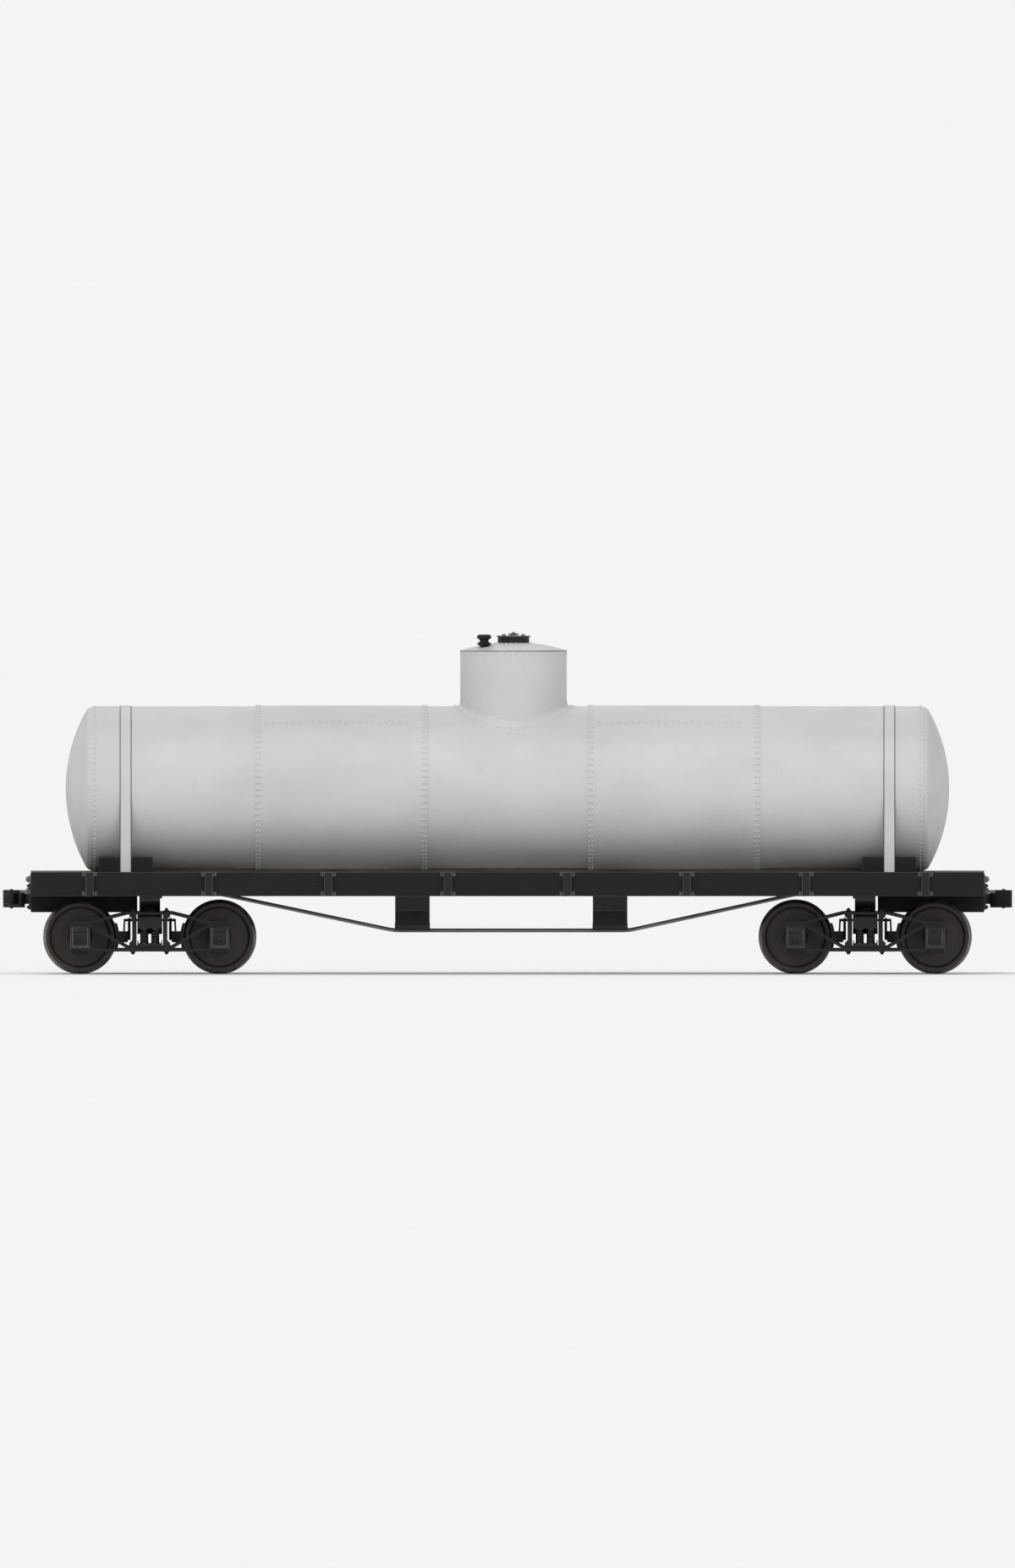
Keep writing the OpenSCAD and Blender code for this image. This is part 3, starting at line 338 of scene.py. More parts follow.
def wheel_tread():
    """Rail-polished tread: bright steel, a little smeared with dirt."""
    f = Finish("rail_polished_steel", Metallic=1.0)
    smear = f.pattern(120 * MM, detail=2)
    share = f.new("MapRange", {0: smear, 1: 0.3, 2: 0.7}, **SMOOTH)
    colour = f.new("Mix", {0: share, 6: "#6d6b69", 7: "#8a8885"}, **COLOUR)
    roughness = f.new("MapRange", {0: smear, 1: 0.3, 2: 0.7, 3: 0.26, 4: 0.42}, **SMOOTH)
    return f.finish(colour, roughness, smear, 0.1 * MM)


def spring_steel():
    """Quenched spring bar, once dipped in black and now scuffed on its outer turns."""
    f = Finish("dipped_spring_steel")
    scuff = f.pattern(15 * MM, detail=4)
    share = f.new("MapRange", {0: scuff, 1: 0.4, 2: 0.7}, **SMOOTH)
    colour = f.new("Mix", {0: share, 6: "#1a1a1b", 7: "#39383a"}, **COLOUR)
    roughness = f.new("MapRange", {0: scuff, 1: 0.3, 2: 0.7, 3: 0.35, 4: 0.55}, **SMOOTH)
    return f.finish(colour, roughness, scuff, 0.2 * MM, 0.4)


BLACK_TONES = ("#0a0a0a", "#211f1d", "#060606", "#332f29")
OAK_TONES = ("#6e655a", "#857c70", "#453d34", "#7d7466")
PAINT = tank_paint()
DIRTY_PAINT = dirty_paint()
IRON = black_iron()
RUBBED = rubbed_iron()
ROD_IRON = dark_iron()
PLATE = wheel_plate()
TREAD = wheel_tread()
SPRING = spring_steel()
BLACK_X = timber("black_paint_on_sawn_timber", BLACK_TONES, 0, 0.5)
BLACK_Y = timber("black_paint_on_cross_timber", BLACK_TONES, 1, 0.5)
BLACK_Z = timber("black_paint_on_upright_timber", BLACK_TONES, 2, 0.5)
BARE_EDGE = timber("rubbed_edge_of_black_timber", ("#45433f", "#57534c", "#2d2b29", "#574f45"), 0, 0.6)
OAK_X = timber("weathered_bare_oak", OAK_TONES, 0, 0.72)
DECK_SIDE = timber("weathered_oak_deck_along", OAK_TONES, 0, 0.72, SIDE_BOARDS)
DECK_END = timber("weathered_oak_deck_across", OAK_TONES, 1, 0.72, END_BOARDS)


# ---------- Making meshes ----------

def coat(node, *finishes):
    """Gives a CAD node its finish."""
    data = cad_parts[node].data
    data.materials.clear()
    for finish in finishes:
        data.materials.append(finish)


def piece(name, mesh, body, finishes=(), replaced=(), sharp=30):
    """A finished piece that rides on a body: smooth, but sharp over edges past that angle."""
    for finish in finishes:
        mesh.materials.append(finish)
    mesh.shade_smooth()
    mesh.set_sharp_from_angle(angle=math.radians(sharp))
    obj = bpy.data.objects.new(name, mesh)
    bpy.context.collection.objects.link(obj)
    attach(obj, body)
    if replaced:
        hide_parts(*replaced)
    return obj


def from_bmesh(name, bm, recalculate=True):
    if recalculate:
        bmesh.ops.recalc_face_normals(bm, faces=bm.faces)
    mesh = bpy.data.meshes.new(name)
    bm.to_mesh(mesh)
    bm.free()
    return mesh


def bevelled(name, mesh, width, segments=2, material=-1, angle=35):
    """mesh with its sharp edges eased, the easing in a material of its own if one is given."""
    obj = bpy.data.objects.new(name + "_sharp", mesh)
    bpy.context.collection.objects.link(obj)
    bevel = obj.modifiers.new("ease", "BEVEL")
    bevel.width = width
    bevel.segments = segments
    bevel.limit_method = "ANGLE"
    bevel.angle_limit = math.radians(angle)
    bevel.material = material
    graph = bpy.context.evaluated_depsgraph_get()
    made = bpy.data.meshes.new_from_object(obj.evaluated_get(graph), depsgraph=graph)
    bpy.data.objects.remove(obj)
    made.name = name
    return made


def eased(node, body, finishes, width, segments=2, pick=None, edge=None):
    """A CAD node with its edges eased. finishes are its materials, edge is the number of the
    one for the easing, and pick(centre) gives the number of the one for a face."""
    bm = bmesh.new()
    bm.from_mesh(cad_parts[node].data)
    bmesh.ops.remove_doubles(bm, verts=bm.verts, dist=0.02 * MM)
    bmesh.ops.dissolve_limit(
        bm, angle_limit=math.radians(0.6), verts=bm.verts, edges=bm.edges
    )
    for face in bm.faces:
        face.material_index = pick(face.calc_center_median()) if pick else 0
    mesh = from_bmesh(node + "_eased", bm, recalculate=False)
    for finish in finishes:
        mesh.materials.append(finish)
    mesh = bevelled(node + "_eased", mesh, width, segments, -1 if edge is None else edge)
    return piece(node + "_eased", mesh, body, (), [node], 25)


def turned(bm, profile, place, steps=96, closed=True, finish=None):
    """Adds a turned shape. profile holds (radius, height) about the local Z axis of place, and
    finish gives the material's number for each stretch of it."""
    rings = []
    for radius, height in profile:
        count = 1 if radius < 1e-9 else steps
        rings.append([
            bm.verts.new(place @ Vector((
                radius * math.cos(math.tau * k / steps), radius * math.sin(math.tau * k / steps),
                height
            )))
            for k in range(count)
        ])
    pairs = list(zip(rings, rings[1:] + rings[:1]))
    for i, (one, two) in enumerate(pairs if closed else pairs[:-1]):
        if len(one) == 1 and len(two) == 1:
            continue
        for k in range(steps):
            corners = [
                one[k % len(one)], one[(k + 1) % len(one)], two[(k + 1) % len(two)],
                two[k % len(two)]
            ]
            face = bm.faces.new(list(dict.fromkeys(corners)))
            if finish:
                face.material_index = finish[i]


def prism(bm, outline, lo, hi, place):
    """Adds an outline in local X and Y, given thickness from lo to hi along local Z."""
    ends = [[bm.verts.new(place @ Vector((x, y, z))) for x, y in outline] for z in (lo, hi)]
    bm.faces.new(ends[0][::-1])
    bm.faces.new(ends[1])
    n = len(outline)
    for k in range(n):
        bm.faces.new((ends[0][k], ends[0][(k + 1) % n], ends[1][(k + 1) % n], ends[1][k]))


def box(bm, lo, hi):
    outline = [(lo[0], lo[1]), (hi[0], lo[1]), (hi[0], hi[1]), (lo[0], hi[1])]
    prism(bm, outline, lo[2], hi[2], Matrix())


def swept(bm, points, radius, steps=16):
    """Adds a round bar along points, with closed ends."""
    rings = []
    for i, point in enumerate(points):
        ahead = (points[min(i + 1, len(points) - 1)] - points[max(i - 1, 0)]).normalized()
        across = ahead.cross(Vector((0, 1, 0))).normalized()
        side = ahead.cross(across)
        rings.append([
            bm.verts.new(
                point + (across * math.cos(math.tau * k / steps)
                         + side * math.sin(math.tau * k / steps)) * radius
            )
            for k in range(steps)
        ])
    for one, two in zip(rings, rings[1:]):
        for k in range(steps):
            bm.faces.new((one[k], one[(k + 1) % steps], two[(k + 1) % steps], two[k]))
    bm.faces.new(rings[0])
    bm.faces.new(rings[-1])


def at(x, y, z):
    return Matrix.Translation((x, y, z))


def facing(axis, sign):
    """The turn that points local Z along an axis, 0 to 2, one way or the other."""
    out = Vector([sign if k == axis else 0 for k in range(3)])
    return Vector((0, 0, 1)).rotation_difference(out).to_matrix().to_4x4()


def arc_points(cx, cy, radius, start, end, steps):
    """Points of an arc, with its angles in degrees."""
    angles = [math.radians(start + (end - start) * k / steps) for k in range(steps + 1)]
    return [(cx + radius * math.cos(a), cy + radius * math.sin(a)) for a in angles]


def rounded(width, height, radius, steps=5):
    """The outline of a plate with rounded corners, about its middle."""
    x, y = width / 2 - radius, height / 2 - radius
    points = []
    for cx, cy, start in ((x, -y, -90), (x, y, 0), (-x, y, 90), (-x, -y, 180)):
        points += arc_points(cx, cy, radius, start, start + 90, steps)
    return points


# ---------- Growing what repeats ----------

def input_socket(tree, name, kind, value=None):
    socket = tree.interface.new_socket(name, in_out="INPUT", socket_type=kind)
    if value is not None:
        socket.default_value = value


def ending(tree, instances, material):
    """The last nodes of every tree: plain geometry in its material."""
    real = add(tree, "GeometryNodeRealizeInstances", {0: instances})
    painted = add(
        tree, "GeometryNodeSetMaterial", {"Geometry": real.outputs[0], "Material": material}
    )
    add(tree, "NodeGroupOutput", {0: painted.outputs[0]})


def stud_tree(name, build, sizes):
    """A tree that sets one small solid on each vertex of a mesh, standing out along the
    vertex's "out" attribute. build(tree, given) makes that solid along +Z."""
    tree = bpy.data.node_groups.new(name, "GeometryNodeTree")
    input_socket(tree, "Geometry", "NodeSocketGeometry")
    for key, value in sizes.items():
        input_socket(tree, key, "NodeSocketFloat", value)
    input_socket(tree, "Seed", "NodeSocketInt", 1)
    input_socket(tree, "Material", "NodeSocketMaterial")
    tree.interface.new_socket("Geometry", in_out="OUTPUT", socket_type="NodeSocketGeometry")
    given = add(tree, "NodeGroupInput").outputs
    solid = build(tree, given)
    points = add(tree, "GeometryNodeMeshToPoints", {"Mesh": given["Geometry"]})
    out = add(
        tree, "GeometryNodeInputNamedAttribute", {"Name": "out"}, data_type="FLOAT_VECTOR"
    )
    aim = add(tree, "FunctionNodeAlignRotationToVector", {"Vector": out.outputs[0]}, axis="Z")
    turn = add(
        tree, "FunctionNodeRandomValue", {2: 0.0, 3: math.tau, "Seed": given["Seed"]},
        data_type="FLOAT",
    )
    spin = add(tree, "ShaderNodeCombineXYZ", {"Z": turn.outputs[1]})
    rotation = add(
        tree, "FunctionNodeRotateRotation",
        {"Rotation": aim.outputs[0], "Rotate By": spin.outputs[0]}, rotation_space="LOCAL",
    )
    studs_set = add(
        tree, "GeometryNodeInstanceOnPoints",
        {"Points": points.outputs[0], "Instance": solid, "Rotation": rotation.outputs[0]},
    )
    ending(tree, studs_set.outputs[0], given["Material"])
    return tree


def scaled(tree, geometry, x, z):
    """Geometry scaled by x across and z along its height."""
    size = add(tree, "ShaderNodeCombineXYZ", {"X": x, "Y": x, "Z": z})
    return add(
        tree, "GeometryNodeTransform", {"Geometry": geometry, "Scale": size.outputs[0]}
    ).outputs[0]


def rivet_solid(tree, given):
    """The button head of a rivet, closed: its lower half is sunk in the plate."""
    ball = add(tree, "GeometryNodeMeshUVSphere", {"Segments": 10, "Rings": 8, "Radius": 1.0})
    return scaled(tree, ball.outputs[0], given["Radius"], given["Height"])


def nut_solid(tree, given):
    """A washer, a hexagonal nut and the end of its bolt."""
    join = add(tree, "GeometryNodeJoinGeometry")
    for sides, radius, height, lift in (
        (16, 1.45, 0.3, 0.1), (6, 1.0, 0.85, 0.6), (10, 0.55, 0.5, 1.2)
    ):
        tube = add(
            tree, "GeometryNodeMeshCylinder",
            {"Vertices": sides, "Radius": radius, "Depth": height},
        )
        lifted = add(
            tree, "GeometryNodeTransform",
            {"Geometry": tube.outputs[0], "Translation": (0, 0, lift)},
        )
        tree.links.new(lifted.outputs[0], join.inputs[0])
    return scaled(tree, join.outputs[0], given["Radius"], given["Radius"])


def spring_solid(tree, given):
    """A coil of round bar between two flat caps, standing on its point."""
    coil = add(
        tree, "GeometryNodeCurveSpiral",
        {
            "Resolution": 14, "Rotations": given["Turns"], "Start Radius": given["Coil Radius"],
            "End Radius": given["Coil Radius"], "Height": given["Height"],
        },
    )
    bar = add(tree, "GeometryNodeCurvePrimitiveCircle", {"Resolution": 8, "Radius": given["Bar"]})
    wound = add(
        tree, "GeometryNodeCurveToMesh",
        {"Curve": coil.outputs[0], "Profile Curve": bar.outputs[0], "Fill Caps": True},
    )
    join = add(tree, "GeometryNodeJoinGeometry")
    tree.links.new(wound.outputs[0], join.inputs[0])
    for share in (0.0, 1.0):
        cap = add(
            tree, "GeometryNodeMeshCylinder",
            {"Vertices": 28, "Radius": given["Cap Radius"], "Depth": given["Bar"]},
        )
        z = add(tree, "ShaderNodeMath", {0: given["Height"], 1: share}, **TIMES)
        up = add(tree, "ShaderNodeCombineXYZ", {"Z": z.outputs[0]})
        moved = add(
            tree, "GeometryNodeTransform",
            {"Geometry": cap.outputs[0], "Translation": up.outputs[0]},
        )
        tree.links.new(moved.outputs[0], join.inputs[0])
    return join.outputs[0]


def rib_tree():
    """A tree that repeats the ribs that it is given round the Y axis through a centre."""
    tree = bpy.data.node_groups.new("ribs_round_a_wheel", "GeometryNodeTree")
    input_socket(tree, "Geometry", "NodeSocketGeometry")
    input_socket(tree, "Count", "NodeSocketInt", 14)
    input_socket(tree, "Centre", "NodeSocketVector")
    input_socket(tree, "Material", "NodeSocketMaterial")
    tree.interface.new_socket("Geometry", in_out="OUTPUT", socket_type="NodeSocketGeometry")
    given = add(tree, "NodeGroupInput").outputs
    line = add(
        tree, "GeometryNodeMeshLine",
        {"Count": given["Count"], "Start Location": given["Centre"], "Offset": (0, 0, 0)},
    )
    number = add(tree, "GeometryNodeInputIndex")
    step = add(tree, "ShaderNodeMath", {0: math.tau, 1: given["Count"]}, operation="DIVIDE")
    turn = add(tree, "ShaderNodeMath", {0: number.outputs[0], 1: step.outputs[0]}, **TIMES)
    rotation = add(tree, "ShaderNodeCombineXYZ", {"Y": turn.outputs[0]})
    ribs = add(
        tree, "GeometryNodeInstanceOnPoints",
        {
            "Points": line.outputs[0], "Instance": given["Geometry"],
            "Rotation": rotation.outputs[0],
        },
    )
    ending(tree, ribs.outputs[0], given["Material"])
    return tree


RIVETS = stud_tree("rivet_heads", rivet_solid, {"Radius": 15 * MM, "Height": 10 * MM})
NUTS = stud_tree("nuts_and_washers", nut_solid, {"Radius": 20 * MM})
COILS = stud_tree(
    "coil_springs", spring_solid,
    {
        "Turns": 5.5, "Coil Radius": 39 * MM, "Bar": 12 * MM, "Height": 180 * MM,
        "Cap Radius": 52 * MM,
    },
)
RIBS = rib_tree()


def grown(name, carrier, tree, values):
    """The plain mesh that a tree grows on a carrier mesh."""
    obj = bpy.data.objects.new(name + "_carrier", carrier)
    modifier = obj.modifiers.new("grow", "NODES")
    modifier.node_group = tree
    sockets = {
        item.name: item.identifier for item in tree.interface.items_tree
        if item.item_type == "SOCKET" and item.in_out == "INPUT"
    }
    for key, value in values.items():
        modifier[sockets[key]] = value
    bpy.context.collection.objects.link(obj)
    graph = bpy.context.evaluated_depsgraph_get()
    mesh = bpy.data.meshes.new_from_object(obj.evaluated_get(graph), depsgraph=graph)
    bpy.data.objects.remove(obj)
    mesh.name = name
    return mesh


def studs(name, places, tree, body, slot, material, **sizes):
    """Sets a stud of the tree on each place, which is (point, outward direction)."""
    carrier = bpy.data.meshes.new(name + "_places")
    carrier.from_pydata([tuple(point) for point, _ in places], [], [])
    out = carrier.attributes.new("out", "FLOAT_VECTOR", "POINT")
    out.data.foreach_set("vector", [c for _, way in places for c in Vector(way).normalized()])
    mesh = grown(name, carrier, tree, {"Seed": 3, "Material": material, **sizes})
    return piece(name, mesh, body, sharp=40)


# ---------- Tank and dome ----------

def on_tank(x, angle, radius):
    """A place on the tank and its outward direction. angle is in radians from the far side up
    over the top."""
    out = Vector((0, math.cos(angle), math.sin(angle)))
    return Vector((x, 0, TANK_Z)) + out * radius, out


def tank_ring(x, radius, pitch):
    """Places all round the tank, about pitch apart."""
    turn = shared_turn(round(math.tau * radius / pitch))
    return [on_tank(x, angle, radius) for angle in turn]


def tank_rivets():
    """Two rows round each lap between courses, one row at each head, and two rows along each
    course at its own lap, high up on one side of the tank and then the other."""
    course = 2 * SHELL_X / COURSES
    head_edge, seam_end, seam_pitch = 38 * MM, 100 * MM, 80 * MM
    band_room, dome_room = 90 * MM, 110 * MM
    places = []
    for i in range(1, COURSES):
        for dx in both_ways(18 * MM):
            places += tank_ring(-SHELL_X + i * course + dx, LAP_R, 76 * MM)
    for s in (-1, 1):
        places += tank_ring(s * (SHELL_X - head_edge), TANK_R, 64 * MM)
    for i in range(COURSES):
        lapped = i % 2
        radius = LAP_R if lapped else TANK_R
        start = -SHELL_X + i * course + seam_end
        for k in range(int((course - 2 * seam_end) / seam_pitch)):
            x = start + k * seam_pitch
            if abs(abs(x) - BAND_X) > band_room and abs(x - DOME_X) > DOME_R + dome_room:
                for up in (math.radians(52), math.radians(54.2)):
                    places.append(on_tank(x, math.pi - up if lapped else up, radius))
    return places


def build_tank():
    for node in ("tank_shell", "tank_bands", "dome_shell", "dome_crown"):
        coat(node, PAINT)
    # Dished heads, turned in fine steps
    crown_r, knuckle_r, flange, plate = 1.92, 90 * MM, 100 * MM, 12 * MM
    drop = math.sqrt((crown_r - knuckle_r) ** 2 - (HEAD_R - knuckle_r) ** 2)
    turn = math.degrees(math.atan2(HEAD_R - knuckle_r, drop))
    tangent = HEAD_X - crown_r + drop
    bm = bmesh.new()
    for s in (-1, 1):
        profile = []
        for t in (0, plate):
            points = arc_points(0, HEAD_X - crown_r, crown_r - t, 90, 90 - turn, 28)
            points[0] = (0, points[0][1])
            points += arc_points(
                HEAD_R - knuckle_r, tangent, knuckle_r - t, 90 - turn, 0, 10
            )[1:]
            points.append((HEAD_R - t, tangent - flange))
            profile += points if t == 0 else points[::-1]
        turned(bm, profile, at(0, 0, TANK_Z) @ facing(0, s), FACETS, closed=False)
    piece(
        "dished_heads", from_bmesh("dished_heads", bm), CAR, [PAINT],
        ["tank_heads"]
    )
    studs(
        "tank_rivets", tank_rivets(), RIVETS, CAR, "grey_paint", PAINT,
        Radius=15 * MM, Height=9 * MM
    )
    foot_y, foot_top = TANK_R + 48 * MM, DECK_Z + 7 * MM
    feet = [
        ((s * BAND_X + dx, m * foot_y, foot_top), (0, 0, 1))
        for s in (-1, 1) for m in (-1, 1) for dx in both_ways(34 * MM)
    ]
    studs("band_nuts", feet, NUTS, CAR, "grey_paint", PAINT, Radius=17 * MM)


def dome_foot(radius, angle, lift):
    """A point round the dome's foot, lifted off the tank's plate."""
    x, y = radius * math.cos(angle), radius * math.sin(angle)
    return Vector((DOME_X + x, y, TANK_Z + math.sqrt(TANK_R ** 2 - y * y) + lift))


def dome_rivets():
    """One row through the flange and one under the shoulder, two down the dome's own lap on
    the far side, and one in the crown round the manhole."""
    places = []
    for angle in shared_turn(56):
        point = dome_foot(DOME_R + 58 * MM, angle, 9 * MM)
        places.append((point, Vector((0, point.y, point.z - TANK_Z))))
    rows = [(angle, [42 * MM]) for angle in shared_turn(52)]
    lap = [120 * MM + k * 75 * MM for k in range(8)]
    rows += [(math.pi / 2 + side, lap) for side in both_ways(0.028)]
    for angle, drops in rows:
        out = Vector((math.cos(angle), math.sin(angle), 0))
        for drop in drops:
            places.append((Vector((DOME_X, 0, SHOULDER_Z - drop)) + out * DOME_R, out))
    r = 222 * MM
    for angle in shared_turn(22, 0):
        out = Vector((math.cos(angle), math.sin(angle), 0))
        normal = Vector((out.x * r, out.y * r, math.sqrt(DOME_BALL_R ** 2 - r * r)))
        places.append((Vector((DOME_X, 0, DOME_BALL_Z)) + normal, normal))
    return places


def build_dome():
    # The flange that joins the dome to the tank, worked up into a fillet
    profile = [
        (DOME_R - 4 * MM, 64 * MM), (DOME_R + 5 * MM, 62 * MM), (DOME_R + 7 * MM, 34 * MM),
        (DOME_R + 14 * MM, 18 * MM), (DOME_R + 30 * MM, 10 * MM), (DOME_R + 88 * MM, 9 * MM),
        (DOME_R + 92 * MM, 4 * MM), (DOME_R + 92 * MM, -4 * MM), (DOME_R - 4 * MM, -4 * MM)
    ]
    bm = bmesh.new()
    rings = [
        [bm.verts.new(dome_foot(r, angle, h)) for angle in shared_turn(FACETS, 0)]
        for r, h in profile
    ]
    for one, two in zip(rings, rings[1:] + rings[:1]):
        for k in range(FACETS):
            bm.faces.new((one[k], one[(k + 1) % FACETS], two[(k + 1) % FACETS], two[k]))
    piece("dome_flange", from_bmesh("dome_flange", bm), CAR, [PAINT], sharp=50)
    # The dome's top angle: a rolled edge at the shoulder
    bm = bmesh.new()
    profile = [(DOME_R - 6 * MM, SHOULDER_Z - 12 * MM)]
    profile += arc_points(DOME_R - 3 * MM, SHOULDER_Z - 4 * MM, 8 * MM, -90, 110, 8)
    turned(bm, profile, at(DOME_X, 0, 0), FACETS)
    piece("dome_rim", from_bmesh("dome_rim", bm), CAR, [DIRTY_PAINT], sharp=60)
    studs(
        "dome_rivets", dome_rivets(), RIVETS, CAR, "grey_paint", PAINT,
        Radius=12 * MM, Height=7 * MM
    )
    eased("manhole_neck", CAR, [IRON, RUBBED], 2.5 * MM, edge=1)
    eased("safety_valve", CAR, [IRON, RUBBED], 4 * MM, edge=1)
    eased("manhole_cover", "dome_cover", [ROD_IRON], 3 * MM)
    eased("cover_screw", "dome_cover", [ROD_IRON], 2 * MM)


# ---------- Timber frame ----------

def deck_nails():
    """Nails in pairs: in rows over the side boards, and over the sills on the end boards."""
    deck = high("deck_boards")[2]
    boards, rows, reach = 3, 9, TRUCK_X - 220 * MM
    nails = []
    for k in range(rows):
        x = -reach + 2 * reach * k / (rows - 1)
        for s in (-1, 1):
            for board in range(boards):
                for across in (45 * MM, 160 * MM):
                    y = s * (SIDE_BOARDS[1] + board * SIDE_BOARDS[2] + across)
                    nails += [((x + dx, y, deck), (0, 0, 1)) for dx in both_ways(22 * MM)]
    for s in (-1, 1):
        for board in range(boards):
            x = s * (SADDLE_OUT + (board + 0.5) * END_BOARDS[2])
            for y in both_ways(*SILL_Y[:2]) + both_ways(LEDGER_Y):
                nails += [((x + dx, y, deck), (0, 0, 1)) for dx in both_ways(60 * MM)]
    return nails


def build_timbers():
    for node, paint in (
        ("side_sills", BLACK_X), ("end_sills", BLACK_Y), ("tank_saddles", BLACK_Y),
        ("draft_timbers", BLACK_X)
    ):
        eased(node, CAR, [paint, BARE_EDGE], 5 * MM, edge=1)
    beam_bottom = SILL_Z - BEAM_H
    eased(
        "queen_posts", CAR, [BLACK_Y, BARE_EDGE, BLACK_Z], 5 * MM, edge=1,
        pick=lambda centre: 2 if centre.z < beam_bottom + 1 * MM else 0
    )
    for node in ("inner_sills", "tank_bearers"):
        eased(node, CAR, [OAK_X], 4 * MM)
    eased(
        "deck_boards", CAR, [DECK_SIDE, DECK_END], 4 * MM,
        pick=lambda centre: 0 if abs(centre.x) < SADDLE_OUT - 1 * MM else 1
    )
    studs(
        "deck_nails", deck_nails(), RIVETS, CAR, "oak_timber", ROD_IRON,
        Radius=7 * MM, Height=2 * MM
    )


def build_stake_pockets():
    eased("stake_pockets", CAR, [IRON, RUBBED], 4 * MM, edge=1)
    pitch = 2 * (END_X - POCKET_INSET) / (POCKETS - 1)
    bolt_in, ear_t = 28 * MM, 10 * MM
    places = []
    for i in range(POCKETS):
        x = -END_X + POCKET_INSET + i * pitch
        for s in (-1, 1):
            for z in (SILL_Z + bolt_in, DECK_Z - bolt_in):
                for dx in both_ways(70 * MM):
                    places.append(((x + dx, s * (SIDE_Y + ear_t), z), (0, s, 0)))
    studs("pocket_bolts", places, NUTS, CAR, "black_iron", RUBBED, Radius=11 * MM)


# ---------- Ironwork of the underframe ----------

def build_truss():
    """Truss rods bent over the bolsters and under the queen posts, with their end nuts."""
    z_high, z_low = SILL_Z + ROD_LIFT, SILL_Z - ROD_DROP
    past_end, past_post, bend_l, bend_steps = 60 * MM, 15 * MM, 90 * MM, 6
    stations = [
        (-END_X - past_end, z_high), (-TRUCK_X, z_high), (POST_X[0] - past_post, z_low),
        (POST_X[1] + past_post, z_low), (TRUCK_X, z_high), (END_X + past_end, z_high)
    ]
    bends = [Vector((x, 0, z)) for x, z in stations]
    path = [bends[0]]
    for before, bend, after in zip(bends, bends[1:], bends[2:]):
        a = bend + (before - bend).normalized() * bend_l
        b = bend + (after - bend).normalized() * bend_l
        for k in range(bend_steps + 1):
            t = k / bend_steps
            path.append(a * (1 - t) ** 2 + bend * 2 * t * (1 - t) + b * t ** 2)
    path.append(bends[-1])
    washer = [
        (17 * MM, 0), (55 * MM, 0), (56 * MM, 2 * MM), (56 * MM, 10 * MM),
        (54 * MM, 12 * MM), (17 * MM, 12 * MM)
    ]
    nut_r = 30 * MM
    nut = [(nut_r * math.cos(a), nut_r * math.sin(a)) for a in shared_turn(6, 0)]
    bm = bmesh.new()
    for y in both_ways(*ROD_Y):
        swept(bm, [point + Vector((0, y, 0)) for point in path], ROD_R)
        for s in (-1, 1):
            face = at(s * (END_X + FIT), y, z_high) @ facing(0, s)
            turned(bm, washer, face, 40)
            prism(bm, nut, 12 * MM, 44 * MM, face)
    mesh = bevelled("truss_rods_bent", from_bmesh("truss_rods_bent", bm), 1.5 * MM, 1)
    piece("truss_rods_bent", mesh, CAR, [ROD_IRON], ["truss_rods"], 25)


def build_post_shoes():
    """Iron shoes round the ends of the queen posts, over the truss rods."""
    half_w, round_post = 49 * MM, 4 * MM
    z = SILL_Z - ROD_DROP + ROD_R
    bm = bmesh.new()
    for x in (POST_X[0], POST_X[1] - POST_L):
        for y in both_ways(*ROD_Y):
            box(
                bm, (x - round_post, y - half_w, z + 2 * MM),
                (x + POST_L + round_post, y + half_w, z + 62 * MM)
            )
    mesh = bevelled("queen_post_shoes", from_bmesh("queen_post_shoes", bm), 2 * MM)
    piece("queen_post_shoes", mesh, CAR, [IRON])


def build_frame_nuts():
    """Nuts under the queen posts' beams, on the end sills and on the striking plates."""
    bolt_in, plate_t = 110 * MM, 22 * MM
    places = []
    for post in (POST_X[0], POST_X[1] - POST_L):
        for dx in (bolt_in, POST_L - bolt_in):
            for y in both_ways(*SILL_Y):
                places.append(((post + dx, y, SILL_Z - BEAM_H), (0, 0, -1)))
    for s in (-1, 1):
        for y in both_ways(0.6, 0.78):
            places.append(((s * END_X, y, SILL_Z + 95 * MM), (s, 0, 0)))
        for y in both_ways(0.175):
            for dz in (-140 * MM, -30 * MM, 115 * MM):
                places.append(((s * (END_X + plate_t), y, SILL_Z + dz), (s, 0, 0)))
    studs("frame_nuts", places, NUTS, CAR, "black_iron", IRON, Radius=19 * MM)


def build_couplers():
    eased("couplers", CAR, [IRON], 14 * MM, 4)
    for end in ENDS:
        eased("knuckle_" + end, "knuckle_" + end, [IRON, RUBBED], 9 * MM, 3, edge=1)
    eased("draft_gear", CAR, [IRON, RUBBED], 4 * MM, edge=1)


def build_underside():
    for node, slot, finish, width in (
        ("body_bolsters", "black_iron", IRON, 5 * MM), ("air_brake", "black_iron", IRON, 5 * MM),
        ("brake_rods", "dark_iron", ROD_IRON, 2.5 * MM),
        ("brake_pipe", "dark_iron", ROD_IRON, 2.5 * MM),
        ("bottom_fittings", "black_iron", IRON, 3 * MM)
    ):
        eased(node, CAR, [finish], width)


# ---------- Trucks ----------

